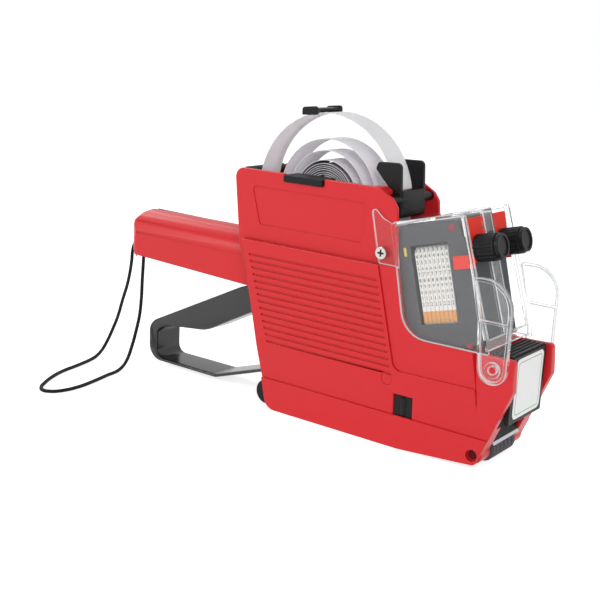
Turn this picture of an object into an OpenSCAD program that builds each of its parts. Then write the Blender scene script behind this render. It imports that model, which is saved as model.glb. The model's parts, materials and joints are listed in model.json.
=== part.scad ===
// Hand-held price labeler that prints two lines on a roll of paper labels.
// Frame: +X towards the label end, +Y to the left side, +Z up.
// The origin lies on the table under the middle of the object. Lengths are in millimetres.

/* [Body] */
// Width across the lower side panels
body_w = 46; // [44:1:52]
// How far the upper panels and the nose sit in from the lower panels
panel_step = 2.5; // [1.5:0.5:3]
// Thickness of the moulded walls
wall = 2.2; // [1.8:0.1:2.6]
// Height of the step between the lower and the upper panels
step_z = 89; // [87:0.5:91]
// Height of the top edge of the shells
top_z = 125.5; // [124:0.5:128]
// Where the leaning rear edge would meet the table
rear_foot_x = -14.5; // [-17:0.5:-13]
// Lean of the rear edge from upright, in degrees
rear_lean = 12.9; // [12:0.1:14]
// Front end of the nose
nose_x = 125.4; // [124:0.2:128]
// Height of the upper edge of the nose
nose_top_z = 57; // [56:0.5:58]
// Radius of the round lower corner of the head window
window_r = 14; // [10:1:18]
// Rear end of the upper panels at the top edge
back_top_x = -43.2; // [-45:0.2:-42.6]

/* [Side panel ribs] */
// Number of fine grooves across each lower panel
rib_n = 14; // [6:1:14]
// Distance between two grooves
rib_pitch = 3.4; // [2.8:0.2:3.4]
// Width of a groove
rib_w = 1.1; // [0.6:0.1:1.6]
// Depth of a groove
rib_depth = 0.6; // [0.3:0.1:0.9]

/* [Handle] */
// Rear end of the handle
handle_end_x = -128.2; // [-134:0.2:-124]
// Width of the handle
handle_w = 28; // [27:1:32]
// Height of the top of the handle
handle_top_z = 90.5; // [89:0.5:92]
// Height of the underside at the rear end
handle_tail_z = 64.7; // [64:0.1:66]
// Height of the underside at the body
handle_root_z = 61; // [60:0.5:62]

/* [Trigger] */
// Width of the trigger loop
trigger_w = 20; // [16:1:21]
// Diameter of the trigger shaft
trigger_shaft_d = 6; // [5:0.5:7]
// Diameter of the drive pin that moves the print head
drive_pin_d = 5; // [4:0.5:5.5]

/* [Print head] */
// Angle by which the print head is raised at rest
head_tilt = 14.5; // [13:0.5:15]
// Depth of the print head from back to front
head_depth = 38; // [35:0.5:38.5]
// Height of the print head above the type face
head_h = 60; // [56:0.5:61]
// Number of digit bands in one line
band_n = 8; // [5:1:8]
// Distance between two bands
band_pitch = 2.3; // [2:0.1:2.4]
// Diameter of the studs that carry the arms
arm_stud_d = 8; // [6:0.5:8]

/* [Knobs] */
// Diameter of a selector knob
knob_d = 13; // [11:0.2:13.6]
// Length of a selector knob
knob_len = 12.4; // [9:0.2:14]
// Number of flutes around a knob
knob_flutes = 20; // [12:1:24]
// Diameter of a selector shaft
selector_d = 3.2; // [2.5:0.1:3.6]

/* [Label roll] */
// Width of the label tape
tape_w = 16; // [12:0.5:16]
// Radius of the outer loose loop
roll_r = 42.4; // [38:0.2:42.4]
// Outer diameter of the core
core_d = 20; // [18:0.5:22]
// Wall of the core
core_wall = 1.3; // [1:0.1:2]

/* [Clear cover] */
// Thickness of the clear cover
cover_t = 1.8; // [1.4:0.1:2]
// Width of each slot for a knob
cover_slot_w = 15.2; // [15:0.1:15.6]
// Radius of the round lower end of an ear
ear_r = 7; // [5.5:0.5:7.5]

/* [Label end] */
// Diameter of the press roller
press_d = 11.6; // [10:0.2:11.8]
// Diameter of the press roller pin
press_pin_d = 4.6; // [3:0.2:4.8]
// Diameter of the ink roller
ink_d = 11; // [9:0.5:11]
// Length of the ink roller
ink_len = 20; // [16:0.5:20]
// Diameter of the feed wheel over its teeth
feed_d = 15; // [12:0.5:15]

/* [Wrist cord] */
// Diameter of the wrist cord
cord_d = 2; // [1.5:0.1:2.2]

/* [Fits] */
// Radial clearance of a shaft that turns in a bore
run_fit = 0.1; // [0.05:0.01:0.1]
// Radial clearance of a pin that is seated
seat_fit = 0.05; // [0.02:0.01:0.06]
// Clearance between parts that move past each other
move_gap = 0.5; // [0.3:0.1:0.6]

/* [Hidden] */
$fn = 48;

// Colours
red = [0.84, 0.16, 0.18];
black = [0.09, 0.09, 0.1];
steel = [0.72, 0.73, 0.74];
grey = [0.36, 0.37, 0.39];
white = [0.94, 0.93, 0.92];
clear = [0.9, 0.94, 0.95, 0.35];

// Half widths of the shells, outside and inside
lower_y = body_w / 2;
upper_y = lower_y - panel_step;
lower_in = lower_y - wall;
upper_in = upper_y - wall;
trigger_y = trigger_w / 2;
tape_y = tape_w / 2;
// Depth of a blind seat and the inner face of the head arms
blind = 1.3;
arm_t = 2;
arm_y = upper_in - 3.7;

// Pivots as [x, z]
arm_pivot = [-15.5, 53];
trigger_pivot = [-4.5, 34];
drive_at = [34, 50];
roll_hub = [6, top_z - 11];
fork_bar = [51.5, top_z - 6.5];
retainer_at = [-39.2, top_z - 2.7];
feed_at = [58.5, 13.2];
press_at = [108, 8];
tray_pivot = [95.5, 7.5];
yoke_pivot = [113.2, 31];
ink_at = [111.2, 44];
flap_pivot = [117.8, 30.8];
ear_at = [115.8, nose_top_z - 5.2];
column_at = [[-108, 76], [36, 20], [84, 14]];
cover_screw_at = [52.2, step_z + 6.2];
lanyard_end_z = 71.6;
lanyard_under_x = handle_end_x + 8.8;

// Profile helpers: points are [x, z, corner radius], anticlockwise seen from the right side
function unit(v) = v / norm(v);
function flat(p) = [p.x, p.y];
function turn(a, b) = a.x * b.y - a.y * b.x;
function corner(a, p, b, r, steps = 6) =
  let (u = unit(a - p), v = unit(b - p), half = acos(u * v) / 2)
  r <= 0 ? [p] :
  let (c = p + unit(u + v) * r / sin(half), s = p + u * r / tan(half) - c, e = p + v * r / tan(half) - c)
  let (a0 = atan2(s.y, s.x), sweep = (atan2(e.y, e.x) - a0 + 540) % 360 - 180)
  [for (i = [0:steps]) c + r * [cos(a0 + sweep * i / steps), sin(a0 + sweep * i / steps)]];
function rounded(pts) =
  let (n = len(pts))
  [for (i = [0:n - 1])
    each corner(flat(pts[(i + n - 1) % n]), flat(pts[i]), flat(pts[(i + 1) % n]), pts[i][2])];
function inset(pts, d) =
  let (n = len(pts))
  [for (i = [0:n - 1])
    let (p = flat(pts[i]), e1 = unit(p - flat(pts[(i + n - 1) % n])), e2 = unit(flat(pts[(i + 1) % n]) - p))
    let (n1 = [-e1.y, e1.x], n2 = [-e2.y, e2.x], q = p + (n1 + n2) * d / (1 + n1 * n2))
    [q.x, q.y, turn(e1, e2) > 0 ? max(pts[i][2] - d, 0) : (pts[i][2] > 0 ? pts[i][2] + d : 0)]];
function spoke(at, r, a) = [at.x + r * cos(a), at.y + r * sin(a)];

// Solid helpers: a slab is a side profile with a thickness along Y
module slab(pts, y0, y1) {
  translate([0, y1, 0]) rotate([90, 0, 0]) linear_extrude(y1 - y0) polygon(pts);
}
module rod(at, d, y0, y1) {
  translate([at.x, y1, at.y]) rotate([90, 0, 0]) cylinder(d = d, h = y1 - y0);
}
module rod_x(y, z, d, x0, x1) {
  translate([x0, y, z]) rotate([0, 90, 0]) cylinder(d = d, h = x1 - x0);
}
module block(x, y, z) {
  translate([x[0], y[0], z[0]]) cube([x[1] - x[0], y[1] - y[0], z[1] - z[0]]);
}
module slab_x(pts, x0, x1) {
  translate([x0, 0, 0]) rotate([90, 0, 90]) linear_extrude(x1 - x0) polygon(pts);
}
module left() {
  mirror([0, 1, 0]) children();
}
module raised() {
  translate([arm_pivot.x, 0, arm_pivot.y]) rotate([0, -head_tilt, 0])
    translate([-arm_pivot.x, 0, -arm_pivot.y]) children();
}

// Outlines of the shells
kink_x = 67.7;
toe = [110, 3.2];
nose_mid_z = 42;
heel_r = 7;
heel_round_r = 6.6;
window_x = 66.5;
window_top_x = 59.9;
sill_z = nose_top_z - 0.5;
crest_x = 46;
brow = [57, top_z - 8.5];
cheek_x = 109;
cheek_z = 28.6;
cheek_lean = 11;
back_x = -38.4;
back_z = 84;
back_foot_z = 62;
skirt_z = 16.8;
function rear_x(z) = rear_foot_x - z * tan(rear_lean);
function window_edge_x(z) = window_top_x + (step_z - z) * (window_x - window_top_x) / (step_z - sill_z);
function back_edge_x(z) = back_x + (z - back_z) * (back_top_x - back_x) / (top_z - back_z);
function crease_x(z) = window_top_x - 9.9 + (step_z - z) * 0.2545;
rear_wall_dx = wall / cos(rear_lean);
lower_pts = [
  [rear_x(0), 0, heel_r], [kink_x, 0, 0], [toe.x, toe.y, 3], [nose_x, nose_mid_z, 3],
  [nose_x - 0.6, nose_top_z, 2], [window_x, sill_z, window_r], [window_top_x, step_z, 0],
  [rear_x(step_z), step_z, 0], [rear_x(back_foot_z), back_foot_z, 0]
];
full_pts = concat([for (i = [0:6]) lower_pts[i]], [
  [brow.x, brow.y, 3], [brow.x - 3, brow.y + 4, 3], [crest_x, top_z, 6], [back_top_x, top_z, 5],
  [back_x, back_z, 8], lower_pts[8]
]);
handle_root_x = -24;
handle_pts = [
  [handle_end_x + 2.5, handle_tail_z, 5], [handle_root_x, handle_root_z, 0],
  [handle_root_x, handle_top_z + 2.7, 0], [handle_end_x, handle_top_z + 1.5, 11]
];

// Heel and tray under the body
heel_at = [-17.5, 7.6];
tray_y = lower_in - 1.8;
tray_gap_y = tray_y + 0.4;
tray_z = 0.6;

// Paths through the walls
trigger_gap_y = trigger_y + 1;
mouth_y = upper_in;
fork_y = tape_y + 1.2;
fork_t = 2.4;
fork_gap_y = fork_y + fork_t + 0.4;
barrel_d = 5.6;
barrel_y = 15;
flap_y = upper_in - 1.1;
press_y = 11;
latch_gap = 0.3;
latch_x = [64.1, 74];
latch_z = [skirt_z + latch_gap, 27.2];

// Handle: a half round top over drafted sides
handle_crease_z = handle_top_z - 12.5;
handle_draft = 1;
module handle_form(g, y1) {
  half = handle_w / 2 - g;
  low = half - handle_draft;
  plan = [[handle_end_x + g, -half, 8 - g], [0, -half, 0], [0, half, 0], [handle_end_x + g, half, 8 - g]];
  intersection() {
    slab(rounded(inset(handle_pts, g)), -half, y1);
    union() {
      intersection() {
        rod_x(0, handle_top_z - handle_w / 2, 2 * half, handle_end_x - 1, 0);
        block([handle_end_x - 2, 1], [-60, 60], [handle_crease_z, handle_top_z + 9]);
      }
      slab_x([
        [-low, handle_root_z - 20], [low, handle_root_z - 20],
        [half - 0.5, handle_crease_z + 1], [0.5 - half, handle_crease_z + 1]
      ], handle_end_x - 1, 0);
    }
    linear_extrude(200) polygon(rounded(plan));
  }
}

// What the right shell is hollowed by
module shell_hollow() {
  slab(rounded(inset(full_pts, wall)), -upper_in, 1);
  // the lower side panels stand further out
  intersection() {
    slab(rounded(inset(lower_pts, wall + 0.6)), -lower_in, -upper_in + 0.5);
    block([-200, cheek_x - 9], [-100, 100], [-10, 200]);
  }
  handle_form(wall, 1);
  // mouth of the roll compartment
  mouth_z = top_z - 12;
  slab([
    [back_edge_x(mouth_z) + wall + 0.6, mouth_z], [crest_x - 4, mouth_z],
    [crest_x - 4, top_z + 3], [back_edge_x(top_z + 3) + wall + 0.6, top_z + 3]
  ], -mouth_y, 1);
  // notch for the retainer's barrel, gap for the front fork, notch for the hub plate's tab
  block([-60, retainer_at.x + barrel_d / 2 + 2], [-barrel_y - move_gap, 1], [retainer_at.y - 5, top_z + 9]);
  block([36, 60], [-fork_gap_y, 1], [top_z - 17, top_z + 9]);
  block([tab_x[0] - 0.3, tab_x[1] + 0.3], [-lower_y, 1], [tab_z, top_z + 9]);
  // chamber of the print head, open to the front
  slab([
    [window_edge_x(24) - 30, 24], [nose_x + 9, 24], [nose_x + 9, top_z + 9],
    [brow.x - 8, top_z + 9], [brow.x - 8, step_z - 8], [window_edge_x(60) - 14, 60]
  ], -upper_in, 1);
  // room for the flap, label mouth, tray opening, heel and trigger gap
  block([104, 140], [-upper_in, 1], [flap_pivot.y - 8.4, 40]);
  block([99, 140], [-press_y - 2.6, 1], [-1, 25]);
  block([-60, tray_pivot.x + 5.5], [-tray_gap_y, 1], [-1, 6]);
  rod(heel_at, 2 * heel_round_r + 2, -tray_gap_y, 1);
  slab([
    [-60, 9], [rear_x(9) + rear_wall_dx + 1, 9],
    [rear_x(handle_root_z) + rear_wall_dx + 1, handle_root_z + 1],
    [-60, handle_root_z + 1]
  ], -trigger_gap_y, 1);
  block([handle_end_x + 12.6, handle_root_x], [-trigger_gap_y, 1], [handle_root_z - 6, handle_tail_z + 5]);
}

// Bosses, ledges and studs inside and outside the right shell
boss_d = 9;
platen_z = 23;
platen_y = 16.5;
module shell_bosses() {
  rod(trigger_pivot, trigger_shaft_d + 6, -lower_in - 0.5, -lower_in + 4);
  rod(feed_at, boss_d, -lower_in - 0.5, -lower_in + 3.2);
  rod(press_at, boss_d, -lower_in - 0.5, -press_y - 1);
  rod(tray_pivot, 7, -lower_in - 0.5, -tray_y - 0.3);
  rod(ear_at, ear_stud_d, -ear_y - ear_t + 0.4, -upper_in - 0.2);
  rod(cover_screw_at, 6, -upper_in - 0.5, -arm_y - arm_t - 0.4);
  for (at = column_at)
    rod(at, 8, at.x < handle_root_x ? -handle_w / 2 + wall / 2 : -lower_in - 0.5, 0);
  block([88, 99], [-lower_in - 0.5, -platen_y + 2.5], [platen_z - 2, platen_z]);
}

// Holes, grooves and marks cut into the right shell
crease_depth = 0.8;
crease_z = 39;
field_depth = 0.4;
module shell_cuts() {
  rod(trigger_pivot, trigger_shaft_d + 2 * seat_fit, -lower_in - blind, 0);
  rod(feed_at, feed_shaft_d + 2 * seat_fit, -lower_in - blind, 0);
  rod(press_at, press_pin_d + 2 * seat_fit, -lower_y - 1, 0);
  rod(press_at, press_pin_d + 1.2, -lower_y - 1, -lower_y + 1.6);
  rod(tray_pivot, tray_pin_d + 2 * seat_fit, -lower_in - blind, 0);
  rod(arm_pivot, arm_stud_d + 2 * seat_fit, -lower_in - blind, 0);
  rod(fork_bar, fork_bar_d + 2 * seat_fit, -upper_in - blind, 0);
  rod(retainer_at, retainer_pin_d + 2 * seat_fit, -upper_in - blind, 0);
  rod(yoke_pivot, yoke_pin_d + 2 * seat_fit, -upper_in - blind, 0);
  rod(flap_pivot, flap_pin_d + 2 * seat_fit, -upper_in - blind, 0);
  rod(cover_screw_at, screw_d + 2 * seat_fit, -upper_y - 1, -arm_y - arm_t - 0.9);
  for (at = column_at) rod(at, screw_d + 2 * seat_fit, -11.5, 1);
  // grooves across the lower panel
  for (i = [0:rib_n - 1])
    let (z = step_z - 7 - i * rib_pitch, x = rear_x(z) + 3.7 + 0.086 * (step_z - 7 - z))
      block([x, crease_x(z) - 1.8], [-lower_y - 1, -lower_y + rib_depth], [z - rib_w, z]);
  // panel beside the window that lies lower, and a round mark beneath it
  slab(rounded([
    [crease_x(crease_z), crease_z, 5.5], [cheek_x - 2, crease_z + 1, 0], [cheek_x - 2, nose_top_z + 5, 0],
    [window_top_x, step_z + 3, 0], [crease_x(step_z + 3), step_z + 3, 0]
  ]), -lower_y - 1, -lower_y + crease_depth);
  rod([crease_x(crease_z) - 3.4, crease_z - 4.9], 6, -lower_y - 1, -lower_y + field_depth);
  // bare field on the upper panel
  slab(rounded([
    [rear_x(step_z) + 9.8, step_z + 8.4, 2], [crest_x - 8, step_z + 8.4, 2],
    [crest_x - 6, top_z - 8.4, 2], [rear_x(top_z) + 12.3, top_z - 8.4, 2]
  ]), -upper_y - 1, -upper_y + field_depth);
  // draft of the panel above the skirt
  slab_x([
    [-lower_y - 1, skirt_z], [-lower_y + 0.9, skirt_z],
    [-lower_y, skirt_z + 13], [-lower_y - 1, skirt_z + 13]
  ], -60, 140);
  // window of the latch
  block([latch_x[0] - latch_gap, latch_x[1] + latch_gap], [-lower_y - 1, 0],
    [latch_z[0] - latch_gap, latch_z[1] + latch_gap]);
}

// Nose side that draws in behind a leaning step
module nose_taper() {
  translate([cheek_x, -lower_y, cheek_z])
    rotate([-atan(0.0368 * panel_step), -cheek_lean, -atan(0.0326 * panel_step)])
      translate([0, -9, -30]) cube([40, 9, 90]);
}

module shell_half() {
  difference() {
    union() {
      difference() {
        union() {
          slab(rounded(lower_pts), -lower_y, 0);
          slab(rounded(full_pts), -upper_y, 0);
          handle_form(0, 0);
        }
        shell_hollow();
        nose_taper();
      }
      shell_bosses();
    }
    shell_cuts();
    // keeps both halves apart at the middle plane
    block([-200, 200], [0, 9], [-9, 200]);
  }
}

// Passage of the wrist cord through the tail, shared by both halves
cord_gap = 0.5;
cord_side = [-6, -9.8];
module cord_passage() {
  rod_x(cord_side[0], lanyard_end_z, cord_d + 2 * cord_gap, handle_end_x - 5, handle_end_x + 6);
  translate([lanyard_under_x, cord_side[1], handle_tail_z - 3])
    cylinder(d = cord_d + 2 * cord_gap, h = wall + 6);
}

module right_shell() {
  color(red) difference() {
    shell_half();
    cord_passage();
  }
}

screw_d = 3;
screw_head_d = 6;
screw_head_h = 2.4;
screw_sink = screw_head_h + 1.2;
function column_side(at) = at.x < handle_root_x ? handle_w / 2 : lower_y;
module left_shell() {
  color(red) difference() {
    left() shell_half();
    cord_passage();
    for (at = column_at) {
      rod(at, screw_d + 2 * seat_fit, -1, 60);
      rod(at, screw_head_d + 0.6, column_side(at) - screw_sink, 60);
    }
  }
}

module screw(at, seat_y, length) {
  difference() {
    union() {
      rod(at, screw_head_d, seat_y, seat_y + screw_head_h);
      rod(at, screw_d, seat_y - length, seat_y);
    }
    for (a = [0, 90])
      translate([at.x, seat_y + screw_head_h, at.y]) rotate([0, a, 0]) cube([3.4, 1.6, 0.8], center = true);
  }
}
module shell_screws() {
  color(steel) for (at = column_at)
    let (seat = column_side(at) - screw_sink) screw(at, seat, seat + 11);
}

// Clear cover over the print head
cover_gap = 0.4;
cover_y = lower_y + 0.5;
cover_top = [93, top_z - 5.6];
cover_bottom = [nose_x - 12.8, nose_top_z + 0.4];
cover_rear = [brow.x + 1.2, top_z - 14.5];
panel_rear = [brow.x - 1.2, top_z - 15.9];
panel_bottom_z = nose_top_z + 2.3;
slot_bottom_z = nose_top_z + 6.8;
slot_back_x = 78;
tab_left_x = 43.9;
ear_y = cover_y;
ear_t = 2.6;
ear_stud_d = 3.4;
ear_rib_z = 73.4;
ear_top = [101.6, 92.6];
ear_pts = [
  [ear_at.x - ear_r, ear_at.y - ear_r, ear_r - 0.05], [ear_at.x + ear_r, ear_at.y - ear_r, ear_r - 0.05],
  [ear_at.x + ear_r, ear_top.y + 1, 14], [ear_top.x, ear_top.y, 1.5], [ear_at.x - ear_r - 2.4, ear_rib_z, 0]
];
cover_side_pts = [
  [window_x + cover_gap, sill_z + cover_gap, window_r], [cover_bottom.x, cover_bottom.y, 1],
  [cover_top.x, cover_top.y, 4], [cover_rear.x, cover_rear.y, 1], [panel_rear.x, panel_rear.y, 1],
  [window_top_x + cover_gap, step_z, 0]
];
panel_reach = (cover_top.y - panel_bottom_z) / (cover_top.y - cover_bottom.y);
function along(a, b, t) = a + (b - a) * t;
module cover_sheet(a, b, y) {
  side = unit(b - a);
  across = [side.y, -side.x] * cover_t;
  slab([a, b, b + across, a + across], -y, y);
}
module cover_side() {
  slab(rounded(cover_side_pts), -cover_y, -cover_y + cover_t);
  // tab under the screw
  slab(rounded([
    [tab_left_x + 5.7, step_z + 0.3, 1.5], [window_top_x + 1.5, step_z + 0.3, 0],
    [panel_rear.x + 2.4, panel_rear.y - 0.8, 0], [tab_left_x + 7.3, top_z - 13.9, 2],
    [tab_left_x + 2.7, top_z - 10, 1], [tab_left_x, top_z - 11, 1.5]
  ]), -upper_y - cover_t, -upper_y);
  // ear with a rim, a cross rib and a boss
  difference() {
    slab(rounded(ear_pts), -ear_y - ear_t, -ear_y + 0.2);
    difference() {
      slab(rounded(inset(ear_pts, 1.8)), -ear_y - ear_t - 1, -ear_y - 1);
      block([90, 140], [-60, 0], [ear_rib_z - 0.7, ear_rib_z + 0.7]);
      rod(ear_at, ear_stud_d + 4.4, -60, 0);
    }
  }
}
module clear_cover() {
  color(clear) difference() {
    union() {
      cover_side();
      left() cover_side();
      cover_sheet(cover_top, along(cover_top, cover_bottom, panel_reach), cover_y - 0.2);
      cover_sheet(cover_rear, cover_top, cover_y - 0.2);
    }
    for (s = [-1, 1]) {
      block([slot_back_x, 140], [s * slot_y - cover_slot_w / 2, s * slot_y + cover_slot_w / 2],
        [slot_bottom_z, 150]);
      rod(ear_at, ear_stud_d + 2 * seat_fit, s * (cover_y + 2) - 6, s * (cover_y + 2) + 6);
      rod(cover_screw_at, screw_d + 2 * seat_fit, s * upper_y - 4, s * upper_y + 4);
    }
  }
}

cover_screw_len = cover_t + upper_y - arm_y - arm_t - 1.2;
module cover_screws() {
  color(steel) {
    screw(cover_screw_at, upper_y + cover_t, cover_screw_len);
    left() screw(cover_screw_at, upper_y + cover_t, cover_screw_len);
  }
}

// Black fork that guides the paper in front of the roll
fork_bar_d = 4.5;
fork_base_x = roll_hub.x + roll_r + 1;
module front_fork() {
  prong = [
    [fork_base_x - 2.4, top_z - 15, 0], [fork_base_x + 4.4, top_z - 15, 1],
    [fork_base_x + 2.6, top_z + 11.3, 2.5], [fork_base_x - 10.4, top_z + 10.8, 2],
    [fork_base_x - 11.4, top_z + 7.2, 1.6], [fork_base_x - 2.4, top_z - 2, 4]
  ];
  color(black) union() {
    for (y = [-fork_y - fork_t, fork_y]) slab(rounded(prong), y, y + fork_t);
    block([fork_base_x, fork_base_x + 4.2], [-fork_y - 1, fork_y + 1], [top_z - 15, top_z - 2]);
    rod(fork_bar, fork_bar_d, -upper_in - blind + 0.2, upper_in + blind - 0.2);
  }
}

// Plates that carry the roll at its core and hook over the shells
tab_x = [-10, 13.9];
tab_z = top_z - 3.3;
tab_lip = 1.4;
tab_lip_h = 4;
hub_plate_y = tape_y + 1.8;
hub_plate_t = 2.2;
core_bore_d = core_d - 2 * core_wall;
module hub_plate() {
  plate = [
    [roll_hub.x - 9, roll_hub.y - 13, 6], [roll_hub.x + 9, roll_hub.y - 13, 6],
    [tab_x[1], roll_hub.y, 3], [tab_x[1], top_z - 0.4, 0],
    [tab_x[0], top_z - 0.4, 0], [tab_x[0], roll_hub.y, 3]
  ];
  difference() {
    union() {
      slab(rounded(plate), -hub_plate_y - hub_plate_t, -hub_plate_y);
      block(tab_x, [-upper_y - tab_lip, -hub_plate_y], [tab_z + 0.3, top_z - 0.4]);
      block(tab_x, [-upper_y - tab_lip, -upper_y - 0.05], [top_z - tab_lip_h, top_z - 0.4]);
      rod(roll_hub, core_bore_d - 2 * run_fit, -hub_plate_y - 0.1, -2.5);
    }
    rod(roll_hub, core_bore_d - 5, -hub_plate_y + 0.4, 0);
  }
}
module right_hub_plate() {
  color(black) hub_plate();
}
module left_hub_plate() {
  color(black) left() hub_plate();
}

// Sprung arm that lies over the back of the roll and ends in two upturned fingers
retainer_pin_d = 2.5;
strap_r = roll_r + 0.5;
strap_t = 1.2;
strap_y = [3, 8];
finger_a = 98;
finger_x = [roll_hub.x - 14, roll_hub.x - 5.2];
finger_z = [roll_hub.y + roll_r - 2.2, roll_hub.y + roll_r + 2.4];
module roll_retainer() {
  start_a = atan2(retainer_at.y - roll_hub.y, retainer_at.x - roll_hub.x);
  arc = [for (i = [0:12]) finger_a + (start_a - finger_a) * i / 12];
  strap = concat([for (a = arc) spoke(roll_hub, strap_r + strap_t, a)],
    [for (i = [0:12]) spoke(roll_hub, strap_r, arc[12 - i])]);
  bar_z = [roll_hub.y + strap_r - 0.2, roll_hub.y + strap_r + 1];
  tab = [
    [finger_x[0], finger_z[0], 0.6], [finger_x[1], finger_z[0] + 0.6, 0.6],
    [finger_x[1], finger_z[1] + 0.4, 1.6], [finger_x[0], finger_z[1] - 0.6, 1.4]
  ];
  color(black) difference() {
    union() {
      slab(strap, strap_y[0], strap_y[1]);
      rod(retainer_at, barrel_d, -barrel_y, barrel_y);
      block([finger_x[0] + 3, finger_x[1] - 0.3], [-fork_y - 1, fork_y + 1], bar_z);
      for (y = [-fork_y - fork_t, fork_y]) slab(rounded(tab), y, y + fork_t);
    }
    rod(retainer_at, retainer_pin_d + 2 * run_fit, -30, 30);
  }
}
module retainer_pin() {
  color(steel) rod(retainer_at, retainer_pin_d, -upper_in - blind + 0.2, upper_in + blind - 0.2);
}

// Paper roll: one unbroken strip, tight on the core and loose outside
tape_t = 0.45;
loop_steps = 24;
loose_r = roll_r - tape_t / 2;
loop_n = 8.6;
end_a = -15;
wind_r = [
  [0, (core_d + tape_t) / 2 + 0.15], [4.5, core_d / 2 + 5.6], [5.3, core_d / 2 + 7.8],
  [6.3, 23.6], [7, 27.2], [7.3, 29.2],
  [7.6, 31], [7.8, 0.885 * loose_r], [8, loose_r], [9, loose_r]
];
function wind(i) =
  let (t = i / loop_steps)
  spoke(roll_hub, lookup(t, wind_r), end_a + 360 * (loop_n - t));
wind_n = floor(loop_n * loop_steps);
wind_pts = [for (i = [0:wind_n]) wind(i)];
wind_side = [for (i = [0:wind_n])
  let (d = unit(wind_pts[min(i + 1, wind_n)] - wind_pts[max(i - 1, 0)])) [d.y, -d.x] * tape_t / 2];
wind_gap = min([for (i = [0:wind_n])
  for (j = [i + loop_steps - 6:1:wind_n]) norm(wind_pts[i] - wind_pts[j])]) - tape_t;
echo(str("label roll, least gap of the strip to itself in mm: ", wind_gap));
module label_roll() {
  ring = [for (i = [0:wind_n]) for (k = [[1, -1], [1, 1], [-1, 1], [-1, -1]])
    let (p = wind_pts[i] + wind_side[i] * k[0]) [p.x, k[1] * tape_y, p.y]];
  walls = [for (i = [0:wind_n - 1]) for (k = [0:3])
    let (a = 4 * i + k, b = 4 * i + (k + 1) % 4) each [[a, b, b + 4], [a, b + 4, a + 4]]];
  last = 4 * wind_n;
  caps = [[0, 2, 1], [0, 3, 2], [last, last + 1, last + 2], [last, last + 2, last + 3]];
  color(white) polyhedron(ring, concat(walls, caps));
}
module roll_core() {
  color([0.82, 0.72, 0.56]) difference() {
    rod(roll_hub, core_d, -tape_y, tape_y);
    rod(roll_hub, core_bore_d, -60, 60);
  }
}

// Trigger loop with its hub, front arm and drive pin
trigger_hub_d = 14;
trigger_outer = [
  [-26.5, 14.6, 6], [3.5, 27, 7], [3.5, 41, 7], [-20, 55, 8], [-40, 60.5, 6], [-46, 58.6, 8],
  [-114.3, 25.4, 9], [-113.8, 3, 9], [-62, 2.9, 8]
];
trigger_inner = [
  [-107.3, 5, 5], [-62, 5.1, 8], [-29, 15.8, 3], [-14, 30, 6], [-17, 42, 8], [-36, 46.5, 10],
  [-70, 28.8, 24], [-100, 25.6, 8], [-107.3, 21.8, 4]
];
drive_side = [[0, -1], [1, 0]] * unit(drive_at - trigger_pivot);
module trigger() {
  color(black) difference() {
    union() {
      difference() {
        slab(rounded(trigger_outer), -trigger_y, trigger_y);
        slab(rounded(trigger_inner), -60, 60);
      }
      rod(trigger_pivot, trigger_hub_d, -trigger_y, trigger_y);
      slab([
        trigger_pivot - 6.5 * drive_side, drive_at - 5 * drive_side,
        drive_at + 5 * drive_side, trigger_pivot + 6.5 * drive_side
      ], -trigger_y, trigger_y);
      rod(drive_at, drive_pin_d + 5, -trigger_y, trigger_y);
    }
    rod(trigger_pivot, trigger_shaft_d + 2 * run_fit, -60, 60);
    rod(drive_at, drive_pin_d + 2 * seat_fit, -60, 60);
  }
}
module trigger_shaft() {
  color(steel) rod(trigger_pivot, trigger_shaft_d, -lower_in - blind + 0.2, lower_in + blind - 0.2);
}
module drive_pin() {
  color(steel) rod(drive_at, drive_pin_d, -arm_y - arm_t - 0.6, arm_y + arm_t + 0.6);
}
module return_spring() {
  color(steel) difference() {
    rod(trigger_pivot, trigger_shaft_d + 4, trigger_y + 0.6, lower_in - 4.4);
    rod(trigger_pivot, trigger_shaft_d + 0.6, 0, 60);
  }
}

// Arms that swing the print head, drawn with the head lowered
head_front_x = 103.7;
head_back_x = head_front_x - head_depth;
type_z = 28;
slot_reach = [norm(drive_at - arm_pivot) - 0.8, norm(drive_at - arm_pivot) + 6.6];
module head_arm() {
  arm = [
    [arm_pivot.x, arm_pivot.y - 6.5, 0], [12, 42.5, 8], [25, 31, 5], [45, 29.5, 6],
    [head_back_x, type_z + 16, 0],
    [head_back_x, type_z + 40, 0], [head_back_x - 10.7, type_z + 41, 4], [arm_pivot.x, arm_pivot.y + 6.5, 0]
  ];
  slot_a = atan2(drive_at.y - arm_pivot.y, drive_at.x - arm_pivot.x);
  difference() {
    raised() union() {
      slab(rounded(arm), -arm_y - arm_t, -arm_y);
      rod(arm_pivot, arm_stud_d + 5, -arm_y - arm_t, -arm_y);
    }
    rod(arm_pivot, arm_stud_d + 2 * run_fit, -60, 60);
    translate([arm_pivot.x, 0, arm_pivot.y]) rotate([0, -slot_a, 0]) {
      for (r = slot_reach) rod([r, 0], drive_pin_d + 1, -60, 60);
      block(slot_reach, [-60, 60], [-drive_pin_d / 2 - 0.5, drive_pin_d / 2 + 0.5]);
    }
  }
}
module right_arm() {
  color(steel) head_arm();
}
module left_arm() {
  color(steel) left() head_arm();
}
module arm_stud() {
  rod(arm_pivot, arm_stud_d, -lower_in - blind + 0.2, -arm_y + 1.4);
  rod(arm_pivot, arm_stud_d + 3, -lower_in, -arm_y - arm_t - 0.3);
  rod(arm_pivot, arm_stud_d + 3, -arm_y + 0.3, -arm_y + 1.4);
}
module arm_studs() {
  color(steel) {
    arm_stud();
    left() arm_stud();
  }
}

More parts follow.
